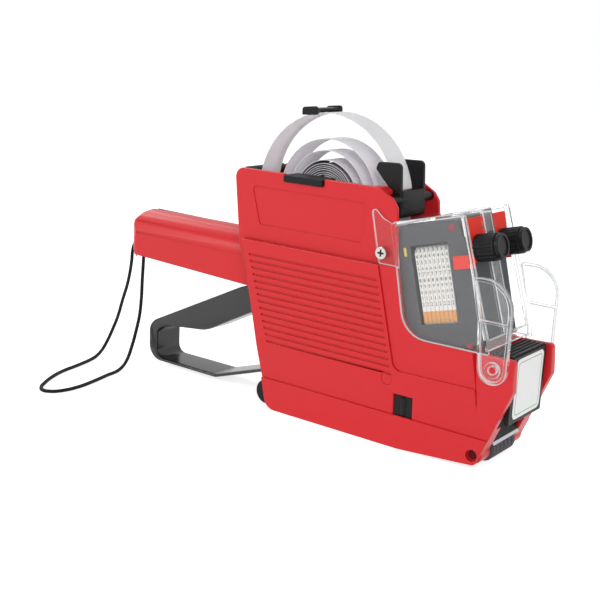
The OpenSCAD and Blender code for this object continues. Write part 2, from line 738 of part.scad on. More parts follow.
// Print head, drawn lowered and then raised to its rest place
head_y = upper_in - move_gap;
head_wall = 1.3;
axis_z = type_z + 45.3;
band_x0 = head_back_x + 8.5;
band_t = 0.9;
band_out = head_y - head_wall - 0.3;
wheel_r = 3;
axis_y = band_out - band_t - 0.1 - wheel_r;
slot_y = axis_y;
band_top = axis_z + wheel_r + band_t + 0.1;
band_pts = [
  [1.6, type_z - 1, 0.9], [7.2, type_z - 1, 0.9], [band_out, type_z + 13, 4],
  [band_out, band_top, wheel_r + band_t + 0.1], [2 * axis_y - band_out, band_top, wheel_r + band_t + 0.1]
];
module head_case() {
  side = [
    [head_back_x, type_z + 1, 1], [head_front_x, type_z + 1, 1],
    [head_front_x, type_z + 46, 4], [head_front_x - 3.8, type_z + head_h, 2],
    [head_back_x, type_z + head_h, 3]
  ];
  color(grey) raised() difference() {
    slab(rounded(side), -head_y, head_y);
    slab(rounded(inset(side, 2)), -head_y + head_wall, head_y - head_wall);
    block([head_back_x + 2, head_front_x - 2], [-head_y + head_wall, head_y - head_wall],
      [type_z - 5, type_z + 20]);
    block([band_x0 - 1, band_x0 + band_n * band_pitch + 1], [-60, 60], [type_z + 12.4, type_z + 50]);
    for (s = [-1, 1])
      rod_x(s * axis_y, axis_z, selector_d + 2 * run_fit, head_front_x - 9, head_front_x + 9);
  }
}
module band_set() {
  raised() for (i = [0:band_n - 1]) {
    x = band_x0 + (i + 0.1) * band_pitch;
    difference() {
      slab_x(rounded(band_pts), x, x + 0.85 * band_pitch);
      slab_x(rounded(inset(band_pts, band_t)), x - 1, x + band_pitch);
    }
  }
}
module right_bands() {
  color(white) left() band_set();
}
module left_bands() {
  color(white) band_set();
}
module type_anvil() {
  color(grey) raised() for (s = [0, 1]) mirror([0, s, 0])
    block([head_back_x + 2, head_front_x - 2], [3.4, 6], [type_z + 0.2, type_z + 4]);
}
module wheel_stack() {
  raised() difference() {
    union() {
      rod_x(axis_y, axis_z, 2 * wheel_r - 1, band_x0, head_front_x - 3.6);
      for (i = [0:band_n - 1])
        rod_x(axis_y, axis_z, 2 * wheel_r,
          band_x0 + (i + 0.1) * band_pitch, band_x0 + (i + 0.9) * band_pitch);
    }
    rod_x(axis_y, axis_z, selector_d + 2 * run_fit, 0, 200);
  }
}
module right_wheel_stack() {
  color([0.9, 0.6, 0.2]) left() wheel_stack();
}
module left_wheel_stack() {
  color([0.9, 0.6, 0.2]) wheel_stack();
}

// Selector knobs, their shafts and the red pointers that travel with them
pointer_x = [head_front_x + 0.3, head_front_x + 2.1];
knob_x = pointer_x[1] + 0.3;
module knob() {
  raised() difference() {
    union() {
      rod_x(axis_y, axis_z, knob_d, knob_x, knob_x + knob_len - 2.2);
      rod_x(axis_y, axis_z, knob_d - 1.4, knob_x + knob_len - 2.3, knob_x + knob_len);
    }
    for (i = [0:knob_flutes - 1])
      let (a = 360 * i / knob_flutes, r = knob_d / 2 + 0.15)
        rod_x(axis_y + r * cos(a), axis_z + r * sin(a), 1.1, knob_x + 0.8, knob_x + knob_len - 3);
    rod_x(axis_y, axis_z, knob_d - 4, knob_x + knob_len - 0.6, knob_x + knob_len + 1);
    rod_x(axis_y, axis_z, selector_d + 2 * seat_fit, knob_x - 1, knob_x + 6);
  }
}
module right_knob() {
  color(black) left() knob();
}
module left_knob() {
  color(black) knob();
}
module selector_shaft() {
  raised() rod_x(axis_y, axis_z, selector_d, head_back_x + 3, knob_x + 5.6);
}
module right_selector_shaft() {
  color(steel) left() selector_shaft();
}
module left_selector_shaft() {
  color(steel) selector_shaft();
}
module pointer() {
  half = cover_slot_w / 2 - 1.2;
  raised() difference() {
    union() {
      block(pointer_x, [axis_y - half, axis_y + half], [axis_z - 6, type_z + head_h - 0.4]);
      // tip beside the bands
      block([head_front_x - 7.7, pointer_x[1]], [head_y + 0.4, axis_y + cover_slot_w / 2 - 0.4],
        [axis_z - 8.2, axis_z - 2]);
    }
    rod_x(axis_y, axis_z, selector_d + 2 * run_fit, 0, 200);
  }
}
module right_pointer() {
  color([0.93, 0.15, 0.1]) left() pointer();
}
module left_pointer() {
  color([0.93, 0.15, 0.1]) pointer();
}

// Ink roller on its swinging yoke
yoke_y = ink_len / 2 + 1;
yoke_t = 2;
yoke_pin_d = 3;
ink_axle_d = 3;
module ink_yoke() {
  color(black) difference() {
    union() {
      for (y = [-yoke_y - yoke_t, yoke_y]) {
        slab([
          yoke_pivot + [-2.6, 0], yoke_pivot + [2.6, 0], ink_at + [2.6, 0], ink_at + [-2.6, 0]
        ], y, y + yoke_t);
        rod(yoke_pivot, 5.2, y, y + yoke_t);
        rod(ink_at, 5.2, y, y + yoke_t);
      }
      rod(yoke_pivot, 5.2, -yoke_y, yoke_y);
    }
    rod(yoke_pivot, yoke_pin_d + 2 * run_fit, -60, 60);
    rod(ink_at, ink_axle_d + 2 * seat_fit, -60, 60);
  }
}
module yoke_pin() {
  color(steel) rod(yoke_pivot, yoke_pin_d, -upper_in - blind + 0.2, upper_in + blind - 0.2);
}
module ink_axle() {
  color(steel) rod(ink_at, ink_axle_d, -yoke_y - yoke_t, yoke_y + yoke_t);
}
module ink_roller() {
  color([0.12, 0.11, 0.13]) difference() {
    rod(ink_at, ink_d, -ink_len / 2, ink_len / 2);
    rod(ink_at, ink_axle_d + 2 * run_fit, -60, 60);
  }
}

// Front cover: a hinged flap with a ridged top and a label field
flap_x = nose_x - 3.1;
flap_t = 2;
flap_top_z = nose_top_z + 0.6;
flap_pin_d = 2.4;
flap_bottom_z = flap_pivot.y - 6.2;
module front_cover() {
  side = [
    [flap_pivot.x - 2.6, flap_pivot.y - 2.6, 2.5], [flap_x, flap_pivot.y - 2.2, 1],
    [flap_x, flap_top_z, 1.5],
    [flap_x - 11, flap_top_z, 0.5], [flap_x - 11, flap_top_z - 3, 1], [flap_x - 2.4, flap_top_z - 6, 3],
    [flap_x - 2.4, flap_pivot.y + 3, 1], [flap_pivot.x - 2.6, flap_pivot.y + 2.6, 2.5]
  ];
  color(black) difference() {
    union() {
      for (y = [-flap_y, flap_y - flap_t]) slab(rounded(side), y, y + flap_t);
      block([flap_x - flap_t, flap_x], [-flap_y, flap_y], [flap_bottom_z, flap_top_z - 0.8]);
      block([flap_x - 11, flap_x - 0.8], [-flap_y, flap_y], [flap_top_z - flap_t, flap_top_z]);
    }
    for (i = [0:3])
      block([flap_x - 10 + 2.2 * i, flap_x - 9 + 2.2 * i], [-60, 60], [flap_top_z - 0.6, flap_top_z + 1]);
    rod(flap_pivot, flap_pin_d + 2 * run_fit, -60, 60);
  }
}
label_t = 0.3;
module front_label() {
  half = flap_y - 2;
  color([0.9, 0.97, 0.95])
    slab_x(rounded([
      [-half, flap_bottom_z + 2, 3], [half, flap_bottom_z + 2, 3],
      [half, flap_top_z - 2, 3], [-half, flap_top_z - 2, 3]
    ]), flap_x, flap_x + label_t);
}
module front_cover_pin() {
  color(steel) rod(flap_pivot, flap_pin_d, -upper_in - blind + 0.2, upper_in + blind - 0.2);
}

// Label path at the front end
platen_top = type_z - 0.5 - 1;
bed_x = [58, 103];
bend_x = 105.4;
lip = [113.6, 12];
peel_y = press_y + 2.2;
peel_t = 0.9;
module platen() {
  color(black) union() {
    block(bed_x, [-platen_y, platen_y], [platen_z, platen_top]);
    slab([
      [bed_x[1] - 2, platen_z], [bed_x[1], platen_z], [bend_x + 0.4, platen_z - 1.5],
      [lip.x - 0.8, lip.y], lip,
      [bend_x, platen_top], [bed_x[1] - 2, platen_top]
    ], -peel_y, peel_y);
  }
}
module peel_plate() {
  color(steel) slab([
    [bed_x[1] - 2.5, platen_top], [bend_x, platen_top], lip, [lip.x + 1, lip.y],
    [bend_x + 0.8, platen_top + peel_t], [bed_x[1] - 2.5, platen_top + peel_t]
  ], -peel_y, peel_y);
}
module press_roller() {
  color([0.16, 0.16, 0.17]) difference() {
    rod(press_at, press_d, -press_y, press_y);
    for (i = [0:4])
      let (y = -press_y + 2 + i * 4) difference() {
        rod(press_at, press_d + 2, y, y + 1);
        rod(press_at, press_d - 1.2, y - 1, y + 2);
      }
    rod(press_at, press_pin_d + 2 * run_fit, -60, 60);
  }
}
module press_roller_pin() {
  color(steel) rod(press_at, press_pin_d, -lower_y + 1.9, lower_y - 1.9);
}

// Feed wheel with its ratchet
feed_shaft_d = 4;
feed_y = 5;
feed_teeth = 12;
ratchet_teeth = 14;
module feed_wheel() {
  tooth = [for (i = [0:feed_teeth - 1]) for (k = [[0, 0], [0.25, 0], [0.4, 1], [0.6, 1]])
    spoke(feed_at, feed_d / 2 - 1.6 + 1.6 * k[1], 360 * (i + k[0]) / feed_teeth)];
  color(black) difference() {
    slab(tooth, -feed_y, feed_y);
    rod(feed_at, feed_shaft_d + 2 * run_fit, -60, 60);
  }
}
module ratchet_wheel() {
  saw = [for (i = [0:ratchet_teeth - 1]) for (k = [0, 1])
    spoke(feed_at, feed_d / 2 - 2.2 + 1.6 * k, 360 * (i + 0.95 * k) / ratchet_teeth)];
  color(steel) difference() {
    slab(saw, feed_y, feed_y + 2);
    rod(feed_at, feed_shaft_d + 2 * run_fit, -60, 60);
  }
}
module feed_shaft() {
  color(steel) rod(feed_at, feed_shaft_d, -lower_in - blind + 0.2, lower_in + blind - 0.2);
}
module pawl_spring() {
  tip = [feed_at.x - 4, feed_at.y + feed_d / 2 + 0.2];
  color(steel) slab([
    tip, tip + [4, -0.2], [feed_at.x + 12, platen_z - 0.8], [feed_at.x + 22, platen_z - 0.8],
    [feed_at.x + 22, platen_z], [feed_at.x + 11, platen_z]
  ], feed_y + 0.2, feed_y + 1.8);
}

// Tray that closes the underside, hinged in front with a round heel behind
tray_pin_d = 3;
hook_x = [68.8, 74.4];
module bottom_cover() {
  front_z = (tray_pivot.x - kink_x) * toe.y / (toe.x - kink_x);
  sole = [
    [heel_at.x, tray_z], [kink_x, tray_z], [tray_pivot.x, tray_z + front_z],
    [tray_pivot.x, tray_z + front_z + 2.2], [kink_x, tray_z + 2.2], [heel_at.x, tray_z + 2.2]
  ];
  rim = [[-8, tray_z + 1], [90, tray_z + 3], [90, 7.2], [-8, 7.2]];
  color(black) difference() {
    union() {
      slab(sole, -tray_y, tray_y);
      rod(heel_at, 2 * heel_round_r, -tray_y, tray_y);
      rod(tray_pivot, 6, -tray_y, tray_y);
      for (y = [-tray_y, tray_y - 1.8]) slab(rim, y, y + 1.8);
      for (s = [0, 1]) mirror([0, s, 0]) block(hook_x, [platen_y - 2, platen_y], [tray_z + 2, 20]);
    }
    rod(tray_pivot, tray_pin_d + 2 * run_fit, -60, 60);
    rod(heel_at, 2 * heel_round_r - 4.4, -tray_y + 2, tray_y - 2);
  }
}
module bottom_cover_pin() {
  color(steel) rod(tray_pivot, tray_pin_d, -lower_in - blind + 0.2, lower_in + blind - 0.2);
}
latch_y = [-lower_y + 1.2, -lower_in + 1.6];
module latch() {
  block(latch_x, latch_y, latch_z);
  block([latch_x[0] - 1.6, latch_x[1] + 1.6], [-lower_in + 0.2, latch_y[1]],
    [latch_z[0] + 0.4, latch_z[1] - 0.4]);
  translate([(latch_x[0] + latch_x[1]) / 2, latch_y[0] + 0.7, latch_z[0] + 0.6])
    cylinder(d = 3.6, h = latch_z[1] - latch_z[0] - 1.2);
}
module right_latch() {
  color(black) latch();
}
module left_latch() {
  color(black) left() latch();
}

// Wrist cord: a loop from the tail of the handle that hangs down and lies on the table
cord_shape = [
  [7.4, -6, 71.2], [2.7, -6, 71.6], [-0.4, -6.1, 70.9], [-2.7, -6.3, 68.6], [-3.8, -6.5, 65],
  [-4.5, -6.5, 58.6], [-7.1, -7, 44.7], [-10.3, -8, 33.7], [-12.9, -9.5, 22.8], [-15.4, -11, 15.1],
  [-16.6, -13.8, 8.6], [-16.4, -18.5, 3.4], [-14.4, -24.5, 1.4], [-12, -30.5, 1.1], [-8.2, -45.3, 1.1],
  [-5.7, -58.9, 1.1], [-1.4, -70.6, 1.1], [3.2, -79, 1.1], [7.6, -85.2, 1.1], [12.2, -87.8, 1.1],
  [16.8, -86, 1.1], [20, -80.5, 1.1], [21.2, -70.1, 1.1], [19.8, -59, 1.1], [17.2, -46.4, 1.1],
  [14.2, -33, 1.3], [12.2, -26, 4.4], [9.8, -19.4, 11.6], [8.8, -15.2, 19.8], [8.7, -12.5, 28.8],
  [8.5, -11, 38.8], [8.3, -10.3, 48.8], [8.6, -9.9, 60], [8.8, -9.8, 65], [8.9, -9.8, 67.8]
];
cord_route = [for (p = cord_shape) p + [handle_end_x, 0, 0]];
cord_sides = 8;
cord_steps = 2;
function spline(p, i, t) =
  let (n = len(p) - 1, a = p[max(i - 1, 0)], b = p[i], c = p[min(i + 1, n)], d = p[min(i + 2, n)])
  0.5 * (2 * b + (c - a) * t + (2 * a - 5 * b + 4 * c - d) * t * t + (3 * b - a - 3 * c + d) * t * t * t);
cord_pts = concat([for (i = [0:len(cord_route) - 2])
  for (k = [0:cord_steps - 1]) spline(cord_route, i, k / cord_steps)],
  [cord_route[len(cord_route) - 1]]);
cord_n = len(cord_pts) - 1;
cord_dir = [for (i = [0:cord_n]) unit(cord_pts[min(i + 1, cord_n)] - cord_pts[max(i - 1, 0)])];
function carry(v, d) = unit(v - d * (v * d));
cord_frame = [for (i = 0, v = carry([0, 1, 0], cord_dir[0]); i <= cord_n;
  i = i + 1, v = i > cord_n ? v : carry(v, cord_dir[i])) v];
module wrist_cord() {
  ring = [for (i = [0:cord_n]) for (k = [0:cord_sides - 1])
    let (a = 360 * k / cord_sides, w = cross(cord_dir[i], cord_frame[i]))
    cord_pts[i] + cord_d / 2 * (cos(a) * cord_frame[i] + sin(a) * w)];
  skin = [for (i = [0:cord_n - 1]) for (k = [0:cord_sides - 1])
    let (a = cord_sides * i + k, b = cord_sides * i + (k + 1) % cord_sides)
    each [[a, b + cord_sides, b], [a, a + cord_sides, b + cord_sides]]];
  last = cord_sides * cord_n;
  ends = [for (k = [1:cord_sides - 2]) each [[0, k, k + 1], [last, last + k + 1, last + k]]];
  color([0.07, 0.07, 0.08]) polyhedron(ring, concat(skin, ends));
}
module cord_knot() {
  color([0.07, 0.07, 0.08])
    rod([handle_end_x + 11, lanyard_end_z - 0.4], 6.4, cord_side[1] - 1.1, cord_side[0] + 3);
}

right_shell();
left_shell();
shell_screws();
clear_cover();
cover_screws();
front_fork();
right_hub_plate();
left_hub_plate();
roll_retainer();
retainer_pin();
roll_core();
label_roll();
trigger();
trigger_shaft();
drive_pin();
return_spring();
right_arm();
left_arm();
arm_studs();
head_case();
right_bands();
left_bands();
type_anvil();
right_wheel_stack();
left_wheel_stack();
right_knob();
left_knob();
right_selector_shaft();
left_selector_shaft();
right_pointer();
left_pointer();
ink_yoke();
yoke_pin();
ink_roller();
ink_axle();
front_cover();
front_label();
front_cover_pin();
platen();
peel_plate();
press_roller();
press_roller_pin();
feed_wheel();
feed_shaft();
ratchet_wheel();
pawl_spring();
bottom_cover();
bottom_cover_pin();
right_latch();
left_latch();
wrist_cord();
cord_knot();
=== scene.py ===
"""Looks of the hand-held price labeler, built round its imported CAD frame.

Lengths are in metres in the frame of the part: +X towards the label end, +Y to the left, +Z up.
"""

import json
import logging
import math
from contextlib import contextmanager
from dataclasses import dataclass
from enum import Enum
from typing import Callable, ClassVar, Iterator, Sequence

import bmesh
import bpy
from mathutils import Matrix, Vector


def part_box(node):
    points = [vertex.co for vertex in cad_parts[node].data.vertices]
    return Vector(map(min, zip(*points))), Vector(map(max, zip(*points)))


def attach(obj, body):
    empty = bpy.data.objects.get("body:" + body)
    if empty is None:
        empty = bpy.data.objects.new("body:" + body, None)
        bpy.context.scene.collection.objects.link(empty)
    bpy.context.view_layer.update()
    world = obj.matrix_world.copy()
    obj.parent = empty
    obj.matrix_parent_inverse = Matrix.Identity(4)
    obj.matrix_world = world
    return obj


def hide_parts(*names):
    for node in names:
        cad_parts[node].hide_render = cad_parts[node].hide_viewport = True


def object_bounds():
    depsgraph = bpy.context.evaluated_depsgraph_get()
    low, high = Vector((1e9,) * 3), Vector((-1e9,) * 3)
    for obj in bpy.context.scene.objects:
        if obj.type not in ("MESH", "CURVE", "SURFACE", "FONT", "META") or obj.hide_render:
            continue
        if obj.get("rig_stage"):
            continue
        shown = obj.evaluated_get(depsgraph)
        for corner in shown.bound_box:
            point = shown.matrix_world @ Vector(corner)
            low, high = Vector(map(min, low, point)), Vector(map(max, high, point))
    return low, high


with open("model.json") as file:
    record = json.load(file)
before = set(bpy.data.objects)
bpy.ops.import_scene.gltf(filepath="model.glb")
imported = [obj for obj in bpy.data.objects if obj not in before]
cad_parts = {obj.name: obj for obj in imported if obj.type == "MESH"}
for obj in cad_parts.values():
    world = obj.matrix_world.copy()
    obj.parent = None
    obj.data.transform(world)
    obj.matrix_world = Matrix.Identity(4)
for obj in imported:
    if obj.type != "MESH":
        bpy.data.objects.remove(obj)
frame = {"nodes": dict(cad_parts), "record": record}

log = logging.getLogger("price_labeler")
CAD_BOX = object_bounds()
MM = 0.001
MERGE_MM = 0.004
MIX_A, MIX_B, MIX_RESULT = 6, 7, 2  # colour sockets of a Mix node
Colour = tuple[float, float, float]


def mm(x: float, y: float, z: float) -> Vector:
    """Returns a point given in millimetres as a vector in metres."""
    return Vector((x, y, z)) * MM


def deselect() -> None:
    """Leaves edit mode and clears the selection."""
    if bpy.context.object and bpy.context.object.mode != "OBJECT":
        bpy.ops.object.mode_set(mode="OBJECT")
    bpy.ops.object.select_all(action="DESELECT")


def activate(piece: bpy.types.Object) -> None:
    """Makes a piece the only selected and the active one."""
    deselect()
    piece.select_set(True)
    bpy.context.view_layer.objects.active = piece


@contextmanager
def editing(piece: bpy.types.Object) -> Iterator[None]:
    """Opens a piece in edit mode with all of it selected.

    Args:
        piece: The mesh object to edit.
    """
    activate(piece)
    bpy.ops.object.mode_set(mode="EDIT")
    bpy.ops.mesh.select_all(action="SELECT")
    yield
    bpy.ops.object.mode_set(mode="OBJECT")


def apply_modifiers(piece: bpy.types.Object) -> None:
    """Applies every modifier of a piece in order."""
    activate(piece)
    for name in [m.name for m in piece.modifiers]:
        bpy.ops.object.modifier_apply(modifier=name)


def smooth(piece: bpy.types.Object, angle: float = 35.0) -> None:
    """Shades a piece smooth up to an edge angle in degrees."""
    activate(piece)
    bpy.ops.object.shade_smooth_by_angle(angle=math.radians(angle))


@dataclass(frozen=True)
class Zone:
    """Part of a moulding whose edges have a rounding of their own, given as a box in millimetres.

    Attributes:
        x: Least and greatest x.
        z: Least and greatest z.
        out: Least and greatest distance from the middle plane.
        width: Width of the rounding there.
    """

    x: tuple[float, float]
    z: tuple[float, float]
    out: tuple[float, float]
    width: float

    def holds(self, point: Vector) -> bool:
        """Returns whether a point in metres is in the zone."""
        x, y, z = point / MM
        return all(low < place < high for place, (low, high) in ((x, self.x), (abs(y), self.out), (z, self.z)))


def weigh_edges(piece: bpy.types.Object, width: float, zones: Sequence[Zone], angle: float) -> float:
    """Marks the outward edges of a piece with the share of the rounding that each gets.

    Args:
        piece: The mesh object.
        width: Width of the rounding in millimetres.
        zones: Places with another rounding; the first that holds an edge counts.
        angle: Least angle in degrees between faces at an edge that is rounded.

    Returns:
        The greatest width.
    """
    mesh = bmesh.new()
    mesh.from_mesh(piece.data)
    share = mesh.edges.layers.float.new("bevel_weight_edge")
    widest = max([width] + [zone.width for zone in zones])
    for edge in mesh.edges:
        if len(edge.link_faces) != 2 or not edge.is_convex or edge.calc_face_angle(0.0) < math.radians(angle):
            continue
        middle = (edge.verts[0].co + edge.verts[1].co) / 2
        edge[share] = next((zone.width for zone in zones if zone.holds(middle)), width) / widest
    mesh.to_mesh(piece.data)
    mesh.free()
    return widest


def round_edges(piece: bpy.types.Object, width: float, zones: Sequence[Zone] = (), segments: int = 2,
                angle: float = 30.0, rim_slot: int = -1) -> None:
    """Rounds the outward edges of a piece and keeps its flat faces flat.

    Args:
        piece: The mesh object.
        width: Width of the rounding in millimetres.
        zones: Places with another rounding.
        segments: Faces across the rounding.
        angle: Least angle in degrees between faces at an edge that is rounded.
        rim_slot: Material slot of the new faces, or -1 to keep that of their neighbours.
    """
    widest = weigh_edges(piece, width, zones, angle)
    bevel = piece.modifiers.new("edge rounding", "BEVEL")
    bevel.width = widest * MM
    bevel.segments = segments
    bevel.limit_method = "WEIGHT"
    bevel.use_clamp_overlap = False
    bevel.loop_slide = False
    bevel.material = rim_slot
    apply_modifiers(piece)
    smooth(piece)
    flatten = piece.modifiers.new("flat faces", "WEIGHTED_NORMAL")
    flatten.keep_sharp = True
    flatten.weight = 100
    apply_modifiers(piece)


def paint_faces(piece: bpy.types.Object, finish: "Finishes", wanted: Callable[[Vector], bool]) -> None:
    """Gives some faces of a piece a second finish.

    Args:
        piece: The mesh object, whose first slot is filled.
        finish: The finish of those faces.
        wanted: Tells from a face's centre in millimetres whether it gets that finish.
    """
    piece.data.materials.append(finish.material())
    last = len(piece.data.materials) - 1
    for face in piece.data.polygons:
        if wanted(face.center / MM):
            face.material_index = last


def copy_of_node(node: str, name: str) -> bpy.types.Object:
    """Copies a CAD node and merges its loose triangles.

    Args:
        node: Name of the CAD node.
        name: Name of the copy.

    Returns:
        The copy, which rides on nothing yet.
    """
    source = frame["nodes"][node]
    piece = source.copy()
    piece.data = source.data.copy()
    piece.name = piece.data.name = name
    piece.parent = None
    for key in [k for k in piece.keys() if k.startswith("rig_")]:
        del piece[key]
    bpy.context.scene.collection.objects.link(piece)
    with editing(piece):
        bpy.ops.mesh.customdata_custom_splitnormals_clear()
        bpy.ops.mesh.remove_doubles(threshold=MERGE_MM * MM)
    return piece


def body_of_node(node: str) -> str:
    """Returns the body that a CAD node belongs to."""
    return next(b for b, members in frame["record"]["behaviour"]["bodies"].items() if node in members)


class Grain:
    """Shader node group that varies colour, roughness and height over a moulded surface."""

    NAME = "moulded_grain"
    INPUTS = (("Color", "NodeSocketColor"), ("Scale", "NodeSocketFloat"), ("Mottle", "NodeSocketFloat"),
              ("Roughness", "NodeSocketFloat"))
    OUTPUTS = (("Color", "NodeSocketColor"), ("Roughness", "NodeSocketFloat"), ("Height", "NodeSocketFloat"))
    FINE_DETAIL = 3.0
    PATCHES_PER_METRE = 38.0
    WORN_ROUGHNESS = 0.08

    @classmethod
    def group(cls) -> bpy.types.NodeTree:
        """Returns the group, and builds it the first time."""
        if cls.NAME in bpy.data.node_groups:
            return bpy.data.node_groups[cls.NAME]
        tree = bpy.data.node_groups.new(cls.NAME, "ShaderNodeTree")
        for name, kind in cls.INPUTS:
            tree.interface.new_socket(name, in_out="INPUT", socket_type=kind)
        for name, kind in cls.OUTPUTS:
            tree.interface.new_socket(name, in_out="OUTPUT", socket_type=kind)
        add, link = tree.nodes.new, tree.links.new
        inside, outside = add("NodeGroupInput"), add("NodeGroupOutput")
        place = add("ShaderNodeTexCoord")
        fine = add("ShaderNodeTexNoise")
        fine.inputs["Detail"].default_value = cls.FINE_DETAIL
        broad = add("ShaderNodeTexNoise")
        broad.inputs["Scale"].default_value = cls.PATCHES_PER_METRE
        link(place.outputs["Object"], fine.inputs["Vector"])
        link(place.outputs["Object"], broad.inputs["Vector"])
        link(inside.outputs["Scale"], fine.inputs["Scale"])
        shade = add("ShaderNodeHueSaturation")
        swing = add("ShaderNodeMath")
        swing.operation = "MULTIPLY_ADD"
        link(broad.outputs["Fac"], swing.inputs[0])
        link(inside.outputs["Mottle"], swing.inputs[1])
        swing.inputs[2].default_value = 1.0
        link(inside.outputs["Color"], shade.inputs["Color"])
        link(swing.outputs[0], shade.inputs["Value"])
        link(shade.outputs["Color"], outside.inputs["Color"])
        worn = add("ShaderNodeMath")
        worn.operation = "MULTIPLY_ADD"
        link(broad.outputs["Fac"], worn.inputs[0])
        worn.inputs[1].default_value = cls.WORN_ROUGHNESS
        link(inside.outputs["Roughness"], worn.inputs[2])
        link(worn.outputs[0], outside.inputs["Roughness"])
        link(fine.outputs["Fac"], outside.inputs["Height"])
        return tree


@dataclass(frozen=True)
class Finish:
    """A surface finish: moulded plastic, rubber, paper or metal with a fine grain, some also with painted shade in
    their creases.

    Attributes:
        name: Name of the material.
        slot: Material slot of the record.
        colour: Base colour, linear.
        roughness: Roughness at the smoothest places.
        metallic: 1 for bare metal.
        grain: Depth of the grain in metres.
        grain_scale: Grains per metre.
        mottle: How much the colour varies.
        specular: Strength of the mirror reflection.
        recess_shade: Colour of the painted shade deep in recesses, or None for no painted shade.
        shade_reach: Distance in metres over which that painted shade deepens into a crease.
        glow: Share of the light that spreads inside the material.
    """

    # Ambient occlusion range that becomes painted shade, and its rays.
    SHADE_AO_RANGE: ClassVar[tuple[float, float]] = (0.4, 0.97)
    SHADE_AO_SAMPLES: ClassVar[int] = 8
    GRAIN_STRENGTH: ClassVar[float] = 0.6
    GLOW_DEPTH: ClassVar[float] = 0.001

    name: str
    slot: str
    colour: Colour
    roughness: float = 0.4
    metallic: float = 0.0
    grain: float = 0.00002
    grain_scale: float = 1800.0
    mottle: float = 0.05
    specular: float = 0.35
    recess_shade: Colour | None = None
    shade_reach: float = 0.009
    glow: float = 0.0

    def _painted_recess_shade(self, tree: bpy.types.NodeTree) -> bpy.types.NodeSocket:
        """Returns the colour with painted shade, darker where nearby surfaces close in round it.

        Args:
            tree: The material's nodes.

        Returns:
            A colour socket.
        """
        occlusion = tree.nodes.new("ShaderNodeAmbientOcclusion")
        occlusion.only_local = True
        occlusion.samples = self.SHADE_AO_SAMPLES
        occlusion.inputs["Distance"].default_value = self.shade_reach
        depth = tree.nodes.new("ShaderNodeMapRange")
        depth.inputs["From Min"].default_value, depth.inputs["From Max"].default_value = self.SHADE_AO_RANGE
        tree.links.new(occlusion.outputs["AO"], depth.inputs["Value"])
        blend = tree.nodes.new("ShaderNodeMix")
        blend.data_type = "RGBA"
        blend.inputs[MIX_A].default_value = (*self.recess_shade, 1.0)
        blend.inputs[MIX_B].default_value = (*self.colour, 1.0)
        tree.links.new(depth.outputs["Result"], blend.inputs["Factor"])
        return blend.outputs[MIX_RESULT]

    def material(self) -> bpy.types.Material:
        """Returns the material, and builds it the first time."""
        if self.name in bpy.data.materials:
            return bpy.data.materials[self.name]
        material = bpy.data.materials.new(self.name)
        material.use_nodes = True
        tree = material.node_tree
        shader = tree.nodes["Principled BSDF"]
        shader.inputs["Metallic"].default_value = self.metallic
        shader.inputs["Specular IOR Level"].default_value = self.specular
        shader.inputs["Subsurface Weight"].default_value = self.glow
        shader.inputs["Subsurface Radius"].default_value = (1.0, 1.0, 1.0)
        shader.inputs["Subsurface Scale"].default_value = self.GLOW_DEPTH
        grain = tree.nodes.new("ShaderNodeGroup")
        grain.node_tree = Grain.group()
        grain.inputs["Color"].default_value = (*self.colour, 1.0)
        # Painted shade: the colour darkens where nearby surfaces close in.
        if self.recess_shade is not None:
            tree.links.new(self._painted_recess_shade(tree), grain.inputs["Color"])
        grain.inputs["Scale"].default_value = self.grain_scale
        grain.inputs["Mottle"].default_value = self.mottle
        grain.inputs["Roughness"].default_value = self.roughness
        bump = tree.nodes.new("ShaderNodeBump")
        bump.inputs["Distance"].default_value = self.grain
        bump.inputs["Strength"].default_value = self.GRAIN_STRENGTH
        tree.links.new(grain.outputs["Color"], shader.inputs["Base Color"])
        tree.links.new(grain.outputs["Roughness"], shader.inputs["Roughness"])
        tree.links.new(grain.outputs["Height"], bump.inputs["Height"])
        tree.links.new(bump.outputs["Normal"], shader.inputs["Normal"])
        return material


@dataclass(frozen=True)
class ClearFinish:
    """Clear plastic that lets the lamps shine through.

    Attributes:
        name: Name of the material.
        slot: Material slot of the record.
        colour: Tint, linear.
        roughness: Roughness of the faces.
        ior: Index of refraction.
        clear: Share of the light that goes through.
    """

    name: str
    slot: str
    colour: Colour
    roughness: float = 0.03
    ior: float = 1.3
    clear: float = 1.0

    def material(self) -> bpy.types.Material:
        """Returns the material, and builds it the first time."""
        if self.name in bpy.data.materials:
            return bpy.data.materials[self.name]
        material = bpy.data.materials.new(self.name)
        material.use_nodes = True
        tree = material.node_tree
        shader = tree.nodes["Principled BSDF"]
        shader.inputs["Base Color"].default_value = (*self.colour, 1.0)
        shader.inputs["Roughness"].default_value = self.roughness
        shader.inputs["IOR"].default_value = self.ior
        shader.inputs["Transmission Weight"].default_value = self.clear
        rays = tree.nodes.new("ShaderNodeLightPath")
        through = tree.nodes.new("ShaderNodeBsdfTransparent")
        choose = tree.nodes.new("ShaderNodeMixShader")
        either = tree.nodes.new("ShaderNodeMath")
        either.operation = "MAXIMUM"
        tree.links.new(rays.outputs["Is Shadow Ray"], either.inputs[0])
        tree.links.new(rays.outputs["Is Diffuse Ray"], either.inputs[1])
        tree.links.new(either.outputs[0], choose.inputs["Fac"])
        tree.links.new(shader.outputs["BSDF"], choose.inputs[1])
        tree.links.new(through.outputs["BSDF"], choose.inputs[2])
        tree.links.new(choose.outputs["Shader"], tree.nodes["Material Output"].inputs["Surface"])
        return material


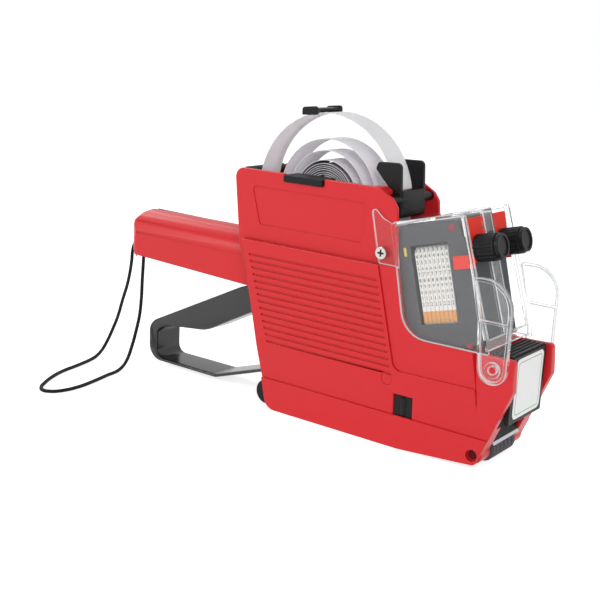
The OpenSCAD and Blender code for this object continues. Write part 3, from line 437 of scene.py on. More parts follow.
@dataclass(frozen=True)
class BraidFinish:
    """Braided cord whose strands cross along it, darker in the grooves between them as painted shade.

    Attributes:
        name: Name of the material.
        slot: Material slot of the record.
        colour: Colour of the strands, linear.
        crossings: Crossings along the whole cord.
        strands: Strands round it.
        roughness: Roughness of the strands.
        specular: Strength of the mirror reflection.
        shade_tones: Brightness between the strands and on them, following the braid's height: painted shade in the
            grooves, painted highlight on the crowns.
        depth: Depth of the braid in metres.
    """

    name: str
    slot: str
    colour: Colour
    crossings: float = 900.0
    strands: float = 4.0
    roughness: float = 0.62
    specular: float = 0.2
    shade_tones: tuple[float, float] = (0.45, 1.5)
    depth: float = 0.00025

    def _wave(self, tree: bpy.types.NodeTree, uv: bpy.types.Node, turn: float) -> bpy.types.NodeSocket:
        """Returns a wave that winds round the cord.

        Args:
            tree: The material's nodes.
            uv: The split surface coordinates.
            turn: 1 or -1 for the hand of the winding.

        Returns:
            A socket between -1 and 1.
        """
        along = tree.nodes.new("ShaderNodeMath")
        along.operation = "MULTIPLY"
        along.inputs[1].default_value = self.crossings * math.pi
        tree.links.new(uv.outputs["X"], along.inputs[0])
        wind = tree.nodes.new("ShaderNodeMath")
        wind.operation = "MULTIPLY_ADD"
        wind.inputs[1].default_value = turn * self.strands * 2 * math.pi
        tree.links.new(uv.outputs["Y"], wind.inputs[0])
        tree.links.new(along.outputs[0], wind.inputs[2])
        wave = tree.nodes.new("ShaderNodeMath")
        wave.operation = "SINE"
        tree.links.new(wind.outputs[0], wave.inputs[0])
        return wave.outputs[0]

    def material(self) -> bpy.types.Material:
        """Returns the material, and builds it the first time."""
        if self.name in bpy.data.materials:
            return bpy.data.materials[self.name]
        material = bpy.data.materials.new(self.name)
        material.use_nodes = True
        tree = material.node_tree
        shader = tree.nodes["Principled BSDF"]
        shader.inputs["Roughness"].default_value = self.roughness
        shader.inputs["Specular IOR Level"].default_value = self.specular
        place = tree.nodes.new("ShaderNodeTexCoord")
        uv = tree.nodes.new("ShaderNodeSeparateXYZ")
        tree.links.new(place.outputs["UV"], uv.inputs[0])
        weave = tree.nodes.new("ShaderNodeMath")
        weave.operation = "MULTIPLY"
        tree.links.new(self._wave(tree, uv, 1.0), weave.inputs[0])
        tree.links.new(self._wave(tree, uv, -1.0), weave.inputs[1])
        # Painted shade and highlight: brightness follows the braid's height.
        height_shade = tree.nodes.new("ShaderNodeMapRange")
        height_shade.inputs["From Min"].default_value = -1.0
        height_shade.inputs["To Min"].default_value, height_shade.inputs["To Max"].default_value = self.shade_tones
        tree.links.new(weave.outputs[0], height_shade.inputs["Value"])
        shade = tree.nodes.new("ShaderNodeHueSaturation")
        shade.inputs["Color"].default_value = (*self.colour, 1.0)
        tree.links.new(height_shade.outputs["Result"], shade.inputs["Value"])
        tree.links.new(shade.outputs["Color"], shader.inputs["Base Color"])
        bump = tree.nodes.new("ShaderNodeBump")
        bump.inputs["Distance"].default_value = self.depth
        tree.links.new(weave.outputs[0], bump.inputs["Height"])
        tree.links.new(bump.outputs["Normal"], shader.inputs["Normal"])
        return material


class Finishes(Enum):
    """Every finish of the labeler."""

    # RED has painted shade: deep red in its creases, grooves and steps.
    RED = Finish("red_moulding", "red_plastic", (0.69, 0.02, 0.026), roughness=0.28, mottle=0.03, specular=0.3,
                 recess_shade=(0.46, 0.006, 0.008))
    BLACK = Finish("black_moulding", "black_plastic", (0.012, 0.012, 0.013), roughness=0.34, specular=0.16)
    GLOSSY = Finish("trigger_moulding", "black_plastic", (0.016, 0.016, 0.017), roughness=0.2, specular=0.5)
    STEEL = Finish("turned_steel", "steel", (0.52, 0.53, 0.55), roughness=0.28, metallic=1.0)
    CHROME = Finish("plated_steel", "chrome", (0.5, 0.49, 0.47), roughness=0.2, metallic=1.0)
    # Near-black: painted shade in the shallow cross of the cover screws.
    DARK = Finish("painted_screw_shade", "chrome", (0.03, 0.028, 0.026), roughness=0.6, metallic=0.6)
    # Dull dark red, not metal: painted shade for the pin end deep in its hole in the red shell.
    PIN = Finish("pin_in_hole_shade", "steel", (0.10, 0.012, 0.015), roughness=0.65, specular=0.1)
    MARK = Finish("dull_red_mark", "pointer_red", (0.32, 0.02, 0.035), roughness=0.5)
    GREY = Finish("grey_moulding", "grey_plastic", (0.072, 0.076, 0.083), roughness=0.45, specular=0.2)
    BAND = Finish("band_rubber", "band_rubber", (0.93, 0.89, 0.81), roughness=0.6, specular=0.2)
    DIGIT = Finish("raised_type", "ink_felt", (0.05, 0.05, 0.055), roughness=0.6, specular=0.2)
    ORANGE = Finish("orange_moulding", "orange_plastic", (0.80, 0.36, 0.10), roughness=0.45)
    YELLOW = Finish("yellow_mark", "orange_plastic", (0.72, 0.52, 0.08), roughness=0.45)
    POINTER = Finish("pointer_moulding", "pointer_red", (0.84, 0.024, 0.007), roughness=0.4, specular=0.15)
    FELT = Finish("inked_felt", "ink_felt", (0.012, 0.012, 0.016), roughness=0.85, grain=0.0002)
    ROLLER = Finish("roller_rubber", "roller_rubber", (0.045, 0.041, 0.044), roughness=0.7, grain=0.0004,
                    grain_scale=700.0, mottle=0.9, specular=0.2)
    # PAPER has painted shade: darker in the narrow gaps between the tape's tight turns.
    PAPER = Finish("label_paper", "paper", (0.93, 0.92, 0.965), roughness=0.7, grain=0.00001, specular=0.15,
                   recess_shade=(0.33, 0.29, 0.34), shade_reach=0.003, glow=0.6)
    CARD = Finish("core_card", "card", (0.58, 0.44, 0.27), roughness=0.75)
    STICKER = Finish("pale_sticker", "sticker", (0.93, 0.955, 0.94), roughness=0.32)
    BORDER = Finish("sticker_border", "sticker", (0.36, 0.45, 0.42), roughness=0.4)
    KNOT = Finish("knotted_braid", "cord", (0.012, 0.012, 0.013), roughness=0.75, grain=0.00025, grain_scale=900.0)
    CORD = BraidFinish("cord_braid", "cord", (0.022, 0.022, 0.023))
    CLEAR = ClearFinish("clear_moulding", "clear_plastic", (0.975, 0.985, 0.985), clear=0.975)
    # Milky white edges of the clear cover: painted highlight.
    CLEAR_RIM = ClearFinish("clear_edge_highlight", "clear_plastic", (0.80, 0.83, 0.85), roughness=0.12, clear=0.4)

    @property
    def slot(self) -> str:
        """Material slot of the record."""
        return self.value.slot

    def material(self) -> bpy.types.Material:
        """Returns the material of this finish."""
        return self.value.material()


def dress(piece: bpy.types.Object, finish: Finishes, body: str, nodes: Sequence[str] = ()) -> None:
    """Gives a piece its finish and lets it ride on its body.

    Args:
        piece: The finished mesh or curve.
        finish: The finish of the first material slot.
        body: The body it moves with.
        nodes: CAD nodes that it stands for.
    """
    if not piece.data.materials:
        piece.data.materials.append(finish.material())
    else:
        piece.data.materials[0] = finish.material()
    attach(piece, body)
    if nodes:
        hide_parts(*nodes)
    finish.slot
    log.info("%s rides on %s", piece.name, body)


def paint_node(node: str, finish: Finishes) -> None:
    """Gives a CAD node that stays as it is a better finish.

    Args:
        node: Name of the CAD node.
        finish: Its finish.
    """
    materials = frame["nodes"][node].data.materials
    materials.clear()
    materials.append(finish.material())


@dataclass(frozen=True)
class PhotoCamera:
    """Camera at the photograph's viewpoint.

    Attributes:
        azimuth: Degrees round the object; 0 looks along +Y.
        elevation: Degrees above the horizon.
        roll: Degrees by which the picture is turned.
        focal_px: Focal length in pixels of the picture.
        picture_px: Width of the picture.
        aim: Point of the object that the middle of the picture is measured from.
        aim_offset: How far right of the middle that point is seen, at its distance.
        distance: Distance of that point along the view.
        sensor: Width of the sensor in millimetres.
    """

    azimuth: float = 36.4
    elevation: float = 13.9
    roll: float = 2.9
    focal_px: float = 1069.0
    picture_px: float = 600.0
    aim: tuple[float, float, float] = (17.5, -23.0, 65.5)
    aim_offset: float = 10.0
    distance: float = 534.5
    sensor: float = 36.0

    def place(self) -> None:
        """Adds the camera and makes it the scene's camera."""
        az, el, roll = (math.radians(a) for a in (self.azimuth, self.elevation, self.roll))
        level = Vector((math.cos(az), math.sin(az), 0.0))
        back = Vector((math.sin(az) * math.cos(el), -math.cos(az) * math.cos(el), math.sin(el)))
        upright = back.cross(level)
        right = math.cos(roll) * level + math.sin(roll) * upright
        up = back.cross(right)
        eye = mm(*self.aim) + (self.distance * back - self.aim_offset * right) * MM
        data = bpy.data.cameras.new("photo_camera")
        data.sensor_width = self.sensor
        data.lens = self.focal_px / self.picture_px * self.sensor
        data.clip_start = 0.01
        camera = bpy.data.objects.new("photo_camera", data)
        bpy.context.scene.collection.objects.link(camera)
        camera.matrix_world = Matrix.Translation(eye) @ Matrix((right, up, back)).transposed().to_4x4()
        bpy.context.scene.camera = camera


@dataclass(frozen=True)
class Lamp:
    """A soft box.

    Attributes:
        name: Name of the lamp.
        place: Where it hangs, in metres.
        size: Side of the square.
        watts: Power.
    """

    name: str
    place: tuple[float, float, float]
    size: float
    watts: float

    def hang(self, target: Vector) -> None:
        """Adds the lamp and turns it to the target.

        Args:
            target: The point that it lights.
        """
        data = bpy.data.lights.new(self.name, "AREA")
        data.size = self.size
        data.energy = self.watts
        lamp = bpy.data.objects.new(self.name, data)
        bpy.context.scene.collection.objects.link(lamp)
        lamp.location = self.place
        lamp.rotation_euler = (target - lamp.location).to_track_quat("-Z", "Y").to_euler()


@dataclass(frozen=True)
class Studio:
    """White studio with soft boxes, a pale floor and an even world.

    Attributes:
        ambient: Strength of the world as light at the horizon.
        overhead: Strength of the world as light straight above.
        floor_side: Side of the floor.
        floor_tone: Grey level of the floor.
        floor_glow: What the floor adds to its own white in the camera's view.
        target: Point that the soft boxes light, in millimetres.
        lamps: The soft boxes.
    """

    ambient: float = 0.72
    overhead: float = 0.2
    floor_side: float = 6.0
    floor_tone: float = 0.9
    floor_glow: float = 0.72
    target: tuple[float, float, float] = (0.0, 0.0, 60.0)
    lamps: tuple[Lamp, ...] = (
        Lamp("top_box", (0.5, -0.3, 1.5), 0.7, 2.5),
        Lamp("key_box", (1.05, -1.05, 0.75), 0.6, 7.5),
        Lamp("band_box", (-0.82, -1.12, 0.62), 0.25, 4.5),
        Lamp("tail_box", (-1.15, 0.35, 0.9), 0.6, 4.0),
    )

    def build(self) -> None:
        """Sets the world, the lamps, the floor and the view."""
        bpy.context.scene.view_settings.view_transform = "Standard"
        self._world()
        for lamp in self.lamps:
            lamp.hang(mm(*self.target))
        self._floor()

    def _world(self) -> None:
        """Lights the scene evenly and shows white behind it."""
        world = bpy.data.worlds.new("white_studio")
        bpy.context.scene.world = world
        world.use_nodes = True
        tree = world.node_tree
        background = tree.nodes["Background"]
        background.inputs["Color"].default_value = (1.0, 1.0, 1.0, 1.0)
        rays = tree.nodes.new("ShaderNodeLightPath")
        seen = self._seen(tree, rays)
        mix = tree.nodes.new("ShaderNodeMix")
        mix.inputs["B"].default_value = 1.0
        tree.links.new(self._sky(tree), mix.inputs["A"])
        tree.links.new(seen, mix.inputs["Factor"])
        tree.links.new(mix.outputs["Result"], background.inputs["Strength"])

    def _sky(self, tree: bpy.types.NodeTree) -> bpy.types.NodeSocket:
        """Returns the world's strength as light, which falls from the horizon up.

        Args:
            tree: The world's nodes.

        Returns:
            A socket with the strength.
        """
        place = tree.nodes.new("ShaderNodeTexCoord")
        way = tree.nodes.new("ShaderNodeSeparateXYZ")
        fall = tree.nodes.new("ShaderNodeMapRange")
        fall.inputs["To Min"].default_value = self.ambient
        fall.inputs["To Max"].default_value = self.overhead
        tree.links.new(place.outputs["Generated"], way.inputs[0])
        tree.links.new(way.outputs["Z"], fall.inputs["Value"])
        return fall.outputs["Result"]

    @staticmethod
    def _seen(tree: bpy.types.NodeTree, rays: bpy.types.Node) -> bpy.types.NodeSocket:
        """Tells the rays that show the background from those that light the object.

        Args:
            tree: The nodes to add to.
            rays: Their Light Path node.

        Returns:
            A socket that is 1 for camera, glossy and transmitted rays.
        """
        total = rays.outputs["Is Camera Ray"]
        for name in ("Is Glossy Ray", "Is Transmission Ray"):
            either = tree.nodes.new("ShaderNodeMath")
            either.operation = "MAXIMUM"
            tree.links.new(total, either.inputs[0])
            tree.links.new(rays.outputs[name], either.inputs[1])
            total = either.outputs[0]
        return total

    def _floor(self) -> None:
        """Adds the pale floor, which keeps the object's shadow."""
        deselect()
        bpy.ops.mesh.primitive_plane_add(size=self.floor_side)
        floor = bpy.context.object
        floor.name = "studio_floor"
        material = bpy.data.materials.new("pale_floor")
        material.use_nodes = True
        tree = material.node_tree
        shader = tree.nodes["Principled BSDF"]
        shader.inputs["Base Color"].default_value = (self.floor_tone,) * 3 + (1.0,)
        shader.inputs["Roughness"].default_value = 0.9
        shader.inputs["Specular IOR Level"].default_value = 0.0
        shader.inputs["Emission Color"].default_value = (1.0, 1.0, 1.0, 1.0)
        rays = tree.nodes.new("ShaderNodeLightPath")
        glow = tree.nodes.new("ShaderNodeMath")
        glow.operation = "MULTIPLY"
        glow.inputs[1].default_value = self.floor_glow
        tree.links.new(self._seen(tree, rays), glow.inputs[0])
        tree.links.new(glow.outputs[0], shader.inputs["Emission Strength"])
        floor.data.materials.append(material)
        floor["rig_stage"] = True


@dataclass(frozen=True)
class WristCord:
    """Thin cord that loops from the tail of the handle down to the table and back.

    Attributes:
        diameter: Thickness.
        length: Length from the knot and back to it; not used.
        route: Points that it passes, in millimetres.
    """

    diameter: float = 0.002
    length: float = 0.294
    route: tuple[tuple[float, float, float], ...] = (
        (-120.8, -6, 71.2), (-125.5, -6, 71.6), (-128.6, -6.1, 70.9), (-130.9, -6.3, 68.6), (-132, -6.5, 65),
        (-132.7, -6.5, 58.6), (-135.3, -7, 44.7), (-138.5, -8, 33.7), (-141.1, -9.5, 22.8), (-143.6, -11, 15.1),
        (-144.8, -13.8, 8.6), (-144.6, -18.5, 3.4), (-142.6, -24.5, 1.4), (-140.2, -30.5, 1.1),
        (-136.4, -45.3, 1.1), (-133.9, -58.9, 1.1), (-129.6, -70.6, 1.1), (-125, -79, 1.1), (-120.6, -85.2, 1.1),
        (-116, -87.8, 1.1), (-111.4, -86, 1.1), (-108.2, -80.5, 1.1), (-107, -70.1, 1.1), (-108.4, -59, 1.1),
        (-111, -46.4, 1.1), (-114, -33, 1.3), (-116, -26, 4.4), (-118.4, -19.4, 11.6), (-119.4, -15.2, 19.8),
        (-119.5, -12.5, 28.8), (-119.7, -11, 38.8), (-119.9, -10.3, 48.8), (-119.6, -9.9, 60), (-119.4, -9.8, 65),
        (-119.3, -9.8, 67.8),
    )

    def build(self) -> None:
        data = bpy.data.curves.new("wrist_cord_braid", "CURVE")
        data.dimensions = "3D"
        data.bevel_depth = self.diameter / 2
        data.bevel_resolution = 3
        data.resolution_u = 6
        data.use_fill_caps = True
        spline = data.splines.new("BEZIER")
        spline.bezier_points.add(len(self.route) - 1)
        for point, place in zip(spline.bezier_points, self.route):
            point.co = mm(*place)
            point.handle_left_type = point.handle_right_type = "AUTO"
        cord = bpy.data.objects.new("wrist_cord_braid", data)
        bpy.context.scene.collection.objects.link(cord)
        dress(cord, Finishes.CORD, body_of_node("wrist_cord"), ["wrist_cord"])
        mm(*self.route[0])


@dataclass(frozen=True)
class ShellPair:
    """Red moulded halves, with broken edges on their ribs and panels.

    Attributes:
        width: Rounding of the outer edges in millimetres.
        zones: Seam, ribs, upper field, front panel, cord hole, grip end, pin hole and nose, with their own edges.
    """

    width: float = 0.6
    zones: tuple[Zone, ...] = (
        Zone((-200, 200), (-10, 200), (-1, 0.06), 0.08),
        Zone((-38, 56), (36, 84), (21.4, 60), 0.16),
        Zone((-36, 44), (95, 119), (18.8, 60), 0.13),
        Zone((44, 76), (38, 100), (18.8, 60), 0.25),
        Zone((-140, -110), (60, 80), (1, 12), 0.2),
        Zone((-140, -124), (55, 95), (0.06, 60), 1.6),
        Zone((104.8, 111.2), (4.8, 11.2), (19.5, 60), 0.15),
        Zone((98, 125), (0, 60), (19.5, 60), 0.7),
    )

    def build(self) -> None:
        """Rounds both halves."""
        for node in ("right_shell", "left_shell"):
            piece = copy_of_node(node, f"{node}_moulding")
            round_edges(piece, self.width, self.zones)
            dress(piece, Finishes.RED, body_of_node(node), [node])


@dataclass(frozen=True)
class ClearCover:
    """Clear cover whose broken edges are milky white, a painted highlight of the light that its edges catch.

    Attributes:
        width: Width of the milky edges with the painted highlight, in millimetres.
    """

    width: float = 0.42

    def build(self) -> None:
        """Breaks the edges and gives them the milky finish of the painted highlight."""
        piece = copy_of_node("clear_cover", "clear_cover_moulding")
        piece.data.materials.clear()
        piece.data.materials.append(Finishes.CLEAR.material())
        piece.data.materials.append(Finishes.CLEAR_RIM.material())
        round_edges(piece, self.width, segments=1, rim_slot=1)
        dress(piece, Finishes.CLEAR, body_of_node("clear_cover"), ["clear_cover"])


@dataclass(frozen=True)
class PrintHead:
    """Type bands with raised digits, their orange ends and the marks on the head's sides.

    Places are those of the head when it prints; at rest it is lifted about the trigger's arm pivot.

    Attributes:
        pivot: Axis of the arms, x and z in millimetres.
        lift: Degrees by which the head is lifted at rest.
        band_x: Rear side of the first band.
        pitch: Distance of the bands.
        bands: How many there are in a line.
        face: Distance of the bands' outer faces from the middle plane.
        rows: Heights of the lowest and highest digits.
        row_pitch: Distance of the rows.
        digit: Size of the digits.
        end_z: Least and greatest height of the orange ends.
        side: Distance of the head's sides from the middle plane.
        ink: Half the height of the raised digits.
        proud: How far their middle stands out from the bands.
        thick: Thickness of the orange ends and of the line mark.
        edge: Rounding of both.
        end_share: Width of an orange end as a share of the pitch.
        discs: Name, radius, x and z of the round marks.
        disc_height: Height of the round marks.
        line_mark: Width, height, x and z of the yellow mark.
    """

    pivot: tuple[float, float] = (-15.5, 53.0)
    lift: float = 14.5
    band_x: float = 74.2
    pitch: float = 2.3
    bands: int = 8
    face: float = 16.2
    rows: tuple[float, float] = (48.4, 76.8)
    row_pitch: float = 2.85
    digit: float = 2.7
    end_z: tuple[float, float] = (40.8, 46.4)
    side: float = 17.8
    ink: float = 0.03
    proud: float = 0.02
    thick: float = 0.5
    edge: float = 0.2
    end_share: float = 0.86
    discs: tuple[tuple[str, float, float, float], ...] = (("top_mark", 1.7, 97.0, 84.6), ("low_mark", 1.5, 97.6, 29.2))
    disc_height: float = 0.7
    line_mark: tuple[float, float, float, float] = (1.5, 4.2, 70.4, 75.6)

    def _lifted(self) -> Matrix:
        """Returns the move from the printing place to rest."""
        axis = Matrix.Translation(mm(self.pivot[0], 0.0, self.pivot[1]))
        return axis @ Matrix.Rotation(math.radians(-self.lift), 4, "Y") @ axis.inverted()

    def _settle(self, piece: bpy.types.Object, name: str, place: Matrix, finish: Finishes) -> None:
        """Puts a piece that was made at the printing place on the head at rest.

        Args:
            piece: The piece, at the origin.
            name: Its name.
            place: Where it sits when the head prints.
            finish: Its finish.
        """
        piece.data.transform(self._lifted() @ place)
        piece.name = piece.data.name = name
        dress(piece, finish, body_of_node("head_case"))

    def _digits(self, turn: int) -> bpy.types.Object:
        """Models the digits of one line as seen from its side.

        Args:
            turn: Changes the order of the digits from band to band.

        Returns:
            One mesh, in the x-y plane round the middle of the bands.
        """
        count = int((self.rows[1] - self.rows[0]) / self.row_pitch) + 1
        strips = []
        for band in range(self.bands):
            deselect()
            bpy.ops.object.text_add()
            strip = bpy.context.object
            strip.data.body = "\n".join(str((turn + row) % 10) for row in range(count))
            strip.data.size = self.digit * MM
            strip.data.space_line = self.row_pitch / self.digit
            strip.data.align_x = strip.data.align_y = "CENTER"
            strip.data.resolution_u = 1
            strip.data.extrude = self.ink * MM
            bpy.ops.object.convert(target="MESH")
            strip = bpy.context.object
            strip.data.transform(Matrix.Translation(mm((band + 0.5 - self.bands / 2) * self.pitch, 0.0, 0.0)))
            strips.append(strip)
        activate(strips[0])
        for strip in strips:
            strip.select_set(True)
        bpy.ops.object.join()
        with editing(strips[0]):
            bpy.ops.mesh.remove_doubles(threshold=0.002 * MM)
        return strips[0]

    def _end_row(self) -> bpy.types.Object:
        """Returns a row of orange band ends round the middle of the bands."""
        row = rounded_block((self.pitch * self.end_share, self.end_z[1] - self.end_z[0], self.thick), self.edge)
        array = row.modifiers.new("bands", "ARRAY")
        array.count = self.bands
        array.use_relative_offset = False
        array.use_constant_offset = True
        array.constant_offset_displace = (self.pitch * MM, 0.0, 0.0)
        apply_modifiers(row)
        row.data.transform(Matrix.Translation(mm((1 - self.bands) / 2 * self.pitch, 0.0, 0.0)))
        return row

    def build(self) -> None:
        """Dresses both lines and both sides of the head."""
        middle_x = self.band_x + self.bands * self.pitch / 2
        outward = Matrix.Rotation(math.radians(90), 4, "X")
        half_turn = Matrix.Rotation(math.radians(180), 4, "Z")
        for name, side in (("right", -1.0), ("left", 1.0)):
            facing = outward if side < 0 else half_turn @ outward
            digits_at = mm(middle_x, side * (self.face + self.proud), sum(self.rows) / 2)
            self._settle(self._digits(3 if side < 0 else 6), f"{name}_type_digits",
                         Matrix.Translation(digits_at) @ facing, Finishes.DIGIT)
            ends_at = mm(middle_x, side * self.face, sum(self.end_z) / 2)
            self._settle(self._end_row(), f"{name}_band_ends", Matrix.Translation(ends_at) @ facing, Finishes.ORANGE)
            flush = side * self.side
            for mark, radius, x, z in self.discs:
                self._settle(rounded_disc(radius, self.disc_height), f"{name}_{mark}",
                             Matrix.Translation(mm(x, flush, z)) @ facing, Finishes.MARK)
            wide, tall, x, z = self.line_mark
            self._settle(rounded_block((wide, tall, self.thick), self.edge), f"{name}_line_mark",
                         Matrix.Translation(mm(x, flush, z)) @ facing, Finishes.YELLOW)


def rounded_block(size: tuple[float, float, float], edge: float) -> bpy.types.Object:
    """Models a small block with rounded edges round the origin.

    Args:
        size: Its sides in millimetres.
        edge: Width of the rounding.

    Returns:
        The block.
    """
    deselect()
    bpy.ops.mesh.primitive_cube_add(size=1.0)
    block = bpy.context.object
    with editing(block):
        bpy.ops.transform.resize(value=tuple(side * MM for side in size))
        bpy.ops.mesh.bevel(offset=edge * MM, segments=2, affect="EDGES")
    smooth(block)
    return block


def rounded_disc(radius: float, height: float) -> bpy.types.Object:
    """Models a small domed disc round the origin, along z.

    Args:
        radius: Its radius in millimetres.
        height: Its height.

    Returns:
        The disc.
    """
    deselect()
    bpy.ops.mesh.primitive_cylinder_add(vertices=24, radius=radius * MM, depth=height * MM)
    disc = bpy.context.object
    round_edges(disc, min(0.3, height * 0.4), segments=2, angle=60.0)
    return disc


@dataclass(frozen=True)
class LabelTape:
    """Loose paper tape: a tight winding round the core and wide loops outside it.

    Attributes:
        hub: Axis of the roll, x and z in millimetres.
        width: Width of the tape.
        paper: Thickness of the tape.
        end_angle: Degrees at which the outer end lies.
        loops: Turns back from the outer end, and the radius there.
        core: Least radius of the tight winding.
        winding: Radial distance of the tight turns.
        steps: Points on a turn.
        waver: How far the tight turns waver in radius.
        waver_rate: Radians of the waver in a turn.
    """

    hub: tuple[float, float] = (6.0, 114.5)
    width: float = 16.0
    paper: float = 0.3
    end_angle: float = -15.0
    loops: tuple[tuple[float, float], ...] = (
        (0.0, 42.1), (0.58, 42.1), (0.8, 37.6), (1.0, 32.0), (1.29, 29.3), (1.6, 27.4), (1.95, 25.2),
        (2.29, 23.6), (2.7, 21.4), (3.29, 18.7), (3.65, 17.6))
    core: float = 10.6
    winding: float = 1.05
    steps: int = 60
    waver: float = 0.1
    waver_rate: float = 4.4

    def radius(self, turns: float) -> float:
        """Gives the tape's distance from the hub.

        Args:
            turns: Turns back from the outer end.

        Returns:
            The radius in millimetres.
        """
        last, edge = self.loops[-1]
        if turns >= last:
            return edge - (turns - last) * self.winding + self.waver * math.sin(turns * self.waver_rate)
        for (t0, r0), (t1, r1) in zip(self.loops, self.loops[1:]):
            if turns <= t1:
                return r0 + (r1 - r0) * (turns - t0) / (t1 - t0)
        return edge

    def _points(self) -> list[Vector]:
        """Returns the tape's path in its own plane, evened out over a tenth of a turn."""
        last, edge = self.loops[-1]
        total = last + (edge - self.core) / self.winding
        span = self.steps // 10
        places = []
        for step in range(int(total * self.steps)):
            near = [self.radius(max(step + k, 0) / self.steps) for k in range(-span, span + 1)]
            angle = math.radians(self.end_angle + 360.0 * step / self.steps)
            places.append(Vector((math.cos(angle), math.sin(angle), 0.0)) * (sum(near) / len(near) * MM))
        return places

    def build(self) -> None:
        """Winds the tape, gives it its thickness and puts it on the core."""
        points = self._points()
        data = bpy.data.curves.new("label_tape", "CURVE")
        data.dimensions = "2D"
        data.fill_mode = "NONE"
        data.extrude = self.width / 2 * MM
        spline = data.splines.new("POLY")
        spline.points.add(len(points) - 1)
        for point, place in zip(spline.points, points):
            point.co = (*place, 1.0)
        tape = bpy.data.objects.new("label_tape", data)
        bpy.context.scene.collection.objects.link(tape)
        activate(tape)
        bpy.ops.object.convert(target="MESH")
        tape = bpy.context.object
        wall = tape.modifiers.new("paper", "SOLIDIFY")
        wall.thickness = self.paper * MM
        wall.offset = 0.0
        apply_modifiers(tape)
        at_hub = Matrix.Translation(mm(self.hub[0], 0.0, self.hub[1]))
        tape.data.transform(at_hub @ Matrix.Rotation(math.radians(90), 4, "X"))
        smooth(tape, 40.0)
        dress(tape, Finishes.PAPER, body_of_node("label_roll"), ["label_roll"])


@dataclass(frozen=True)
class FrontSticker:
    """Bare sticker on the flap with a thin printed border.

    Attributes:
        trim: How much narrower it is than its bed on each side, in millimetres.
        inset: Distance of the border from the sticker's edge in millimetres.
        line: Width of the border.
        corner: Radius of its corners.
        proud: Thickness of the ink.
        edge: Rounding of the sticker's edges.
    """

    trim: float = 1.0
    inset: float = 1.7
    line: float = 0.45
    corner: float = 2.2
    proud: float = 0.03
    edge: float = 0.08

    def build(self) -> None:
        """Cuts the sticker and draws its border as a thin frame on its face."""
        low, high = (Vector(corner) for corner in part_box("front_label"))
        sticker = copy_of_node("front_label", "front_sticker")
        narrow = 1.0 - 2 * self.trim * MM / (high.y - low.y)
        sticker.data.transform(Matrix.Diagonal((1.0, narrow, 1.0, 1.0)))
        round_edges(sticker, self.edge)
        dress(sticker, Finishes.STICKER, body_of_node("front_label"), ["front_label"])
        self._border(low, high)

    def _border(self, low: Vector, high: Vector) -> None:
        """Draws the border.

        Args:
            low: Lowest corner of the sticker's bed.
            high: Its highest corner.
        """
        wide = high.y - low.y - 2 * (self.inset + self.trim) * MM
        tall = high.z - low.z - 2 * self.inset * MM
        deselect()
        bpy.ops.mesh.primitive_plane_add(size=1.0)
        border = bpy.context.object
        border.name = border.data.name = "sticker_border"
        with editing(border):
            bpy.ops.transform.resize(value=(wide, tall, 1))
            bpy.ops.mesh.bevel(offset=self.corner * MM, segments=5, affect="VERTICES")
            bpy.ops.mesh.select_all(action="SELECT")
            bpy.ops.mesh.inset(thickness=self.line * MM)
            bpy.ops.mesh.delete(type="FACE")
        wall = border.modifiers.new("ink", "SOLIDIFY")
        wall.thickness = self.proud * MM
        wall.offset = 1.0
        apply_modifiers(border)
        upright = Matrix(((0, 0, 1, 0), (1, 0, 0, 0), (0, 1, 0, 0), (0, 0, 0, 1)))
        centre = Vector((high.x, (low.y + high.y) / 2, (low.z + high.z) / 2))
        border.data.transform(Matrix.Translation(centre) @ upright)
        dress(border, Finishes.BORDER, body_of_node("front_label"))


SCREW_AT = (52.2, 95.2)
RECESS_RADIUS = 1.75
RECESS_DEPTH = (0.04, 0.9)
PEEL_EDGE_Z = 13.4


def in_shaded_screw_cross(at: Vector) -> bool:
    """Returns whether a point in millimetres lies in the cross of a cover screw's head, which gets painted shade."""
    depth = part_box("cover_screws")[1][1] / MM - abs(at.y)
    near = math.hypot(at.x - SCREW_AT[0], at.z - SCREW_AT[1]) < RECESS_RADIUS
    return near and RECESS_DEPTH[0] < depth < RECESS_DEPTH[1]


def on_peel_edge(at: Vector) -> bool:
    """Returns whether a point in millimetres lies on the bare lower edge of the peel plate."""
    return at.z < PEEL_EDGE_Z


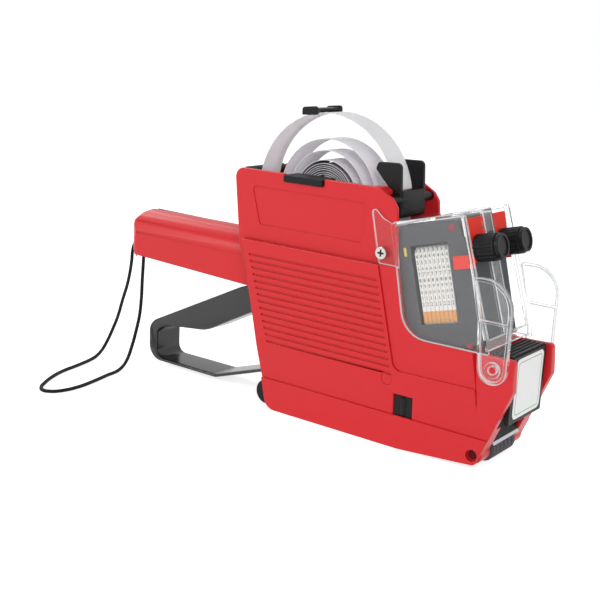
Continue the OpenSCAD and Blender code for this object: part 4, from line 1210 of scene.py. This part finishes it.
class Mouldings:
    """Pieces that keep their CAD shape and get rounded edges and a finish."""

    SOFTENED = {
        "trigger": (Finishes.GLOSSY, 1.3), "front_fork": (Finishes.BLACK, 0.5),
        "right_hub_plate": (Finishes.BLACK, 0.4), "left_hub_plate": (Finishes.BLACK, 0.4),
        "roll_retainer": (Finishes.BLACK, 0.35), "front_cover": (Finishes.BLACK, 0.3),
        "bottom_cover": (Finishes.BLACK, 0.4), "right_latch": (Finishes.BLACK, 0.25),
        "left_latch": (Finishes.BLACK, 0.25), "head_case": (Finishes.GREY, 0.4),
        "right_pointer": (Finishes.POINTER, 0.25), "left_pointer": (Finishes.POINTER, 0.25),
        "right_knob": (Finishes.BLACK, 0.2), "left_knob": (Finishes.BLACK, 0.2),
        "cover_screws": (Finishes.CHROME, 0.15), "shell_screws": (Finishes.CHROME, 0.15),
        "press_roller": (Finishes.ROLLER, 0.15), "peel_plate": (Finishes.BLACK, 0.15),
    }
    DETAILS = {
        "peel_plate": (Finishes.STEEL, on_peel_edge),
        # The cross of each cover screw is painted near-black as painted shade.
        "cover_screws": (Finishes.DARK, in_shaded_screw_cross),
    }
    PAINTED = {
        Finishes.STEEL: ("retainer_pin", "trigger_shaft", "drive_pin", "return_spring", "right_arm", "left_arm",
                         "arm_studs", "right_selector_shaft", "left_selector_shaft", "yoke_pin", "ink_axle",
                         "front_cover_pin", "feed_shaft", "ratchet_wheel", "pawl_spring", "bottom_cover_pin"),
        # The press roller pin's end is painted dark red as painted shade in its hole.
        Finishes.PIN: ("press_roller_pin",),
        Finishes.BLACK: ("platen", "feed_wheel", "ink_yoke"),
        Finishes.BAND: ("right_bands", "left_bands"),
        Finishes.ORANGE: ("right_wheel_stack", "left_wheel_stack"),
        Finishes.GREY: ("type_anvil",),
        Finishes.FELT: ("ink_roller",),
        Finishes.CARD: ("roll_core",),
        Finishes.KNOT: ("cord_knot",),
    }

    def build(self) -> None:
        """Softens the visible mouldings and paints the rest."""
        for node, (finish, width) in self.SOFTENED.items():
            piece = copy_of_node(node, f"{node}_moulding")
            if node == "peel_plate":
                with editing(piece):
                    bpy.ops.mesh.bisect(plane_co=mm(0, 0, PEEL_EDGE_Z), plane_no=(0, 0, 1))
            round_edges(piece, width)
            dress(piece, finish, body_of_node(node), [node])
            if node in self.DETAILS:
                paint_faces(piece, *self.DETAILS[node])
        for finish, nodes in self.PAINTED.items():
            for node in nodes:
                paint_node(node, finish)


def write_sizes() -> None:
    """Works out the box of the CAD model and that of the dressed model, and keeps neither."""
    boxes = {"cad": CAD_BOX, "visual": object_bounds()}
    {name: [list(corner) for corner in box] for name, box in boxes.items()}


def main() -> None:
    """Builds the studio and every piece."""
    logging.basicConfig(level=logging.INFO)
    PhotoCamera().place()
    Studio().build()
    WristCord().build()
    ShellPair().build()
    ClearCover().build()
    PrintHead().build()
    LabelTape().build()
    FrontSticker().build()
    Mouldings().build()
    write_sizes()


if __name__ == "__main__":
    main()
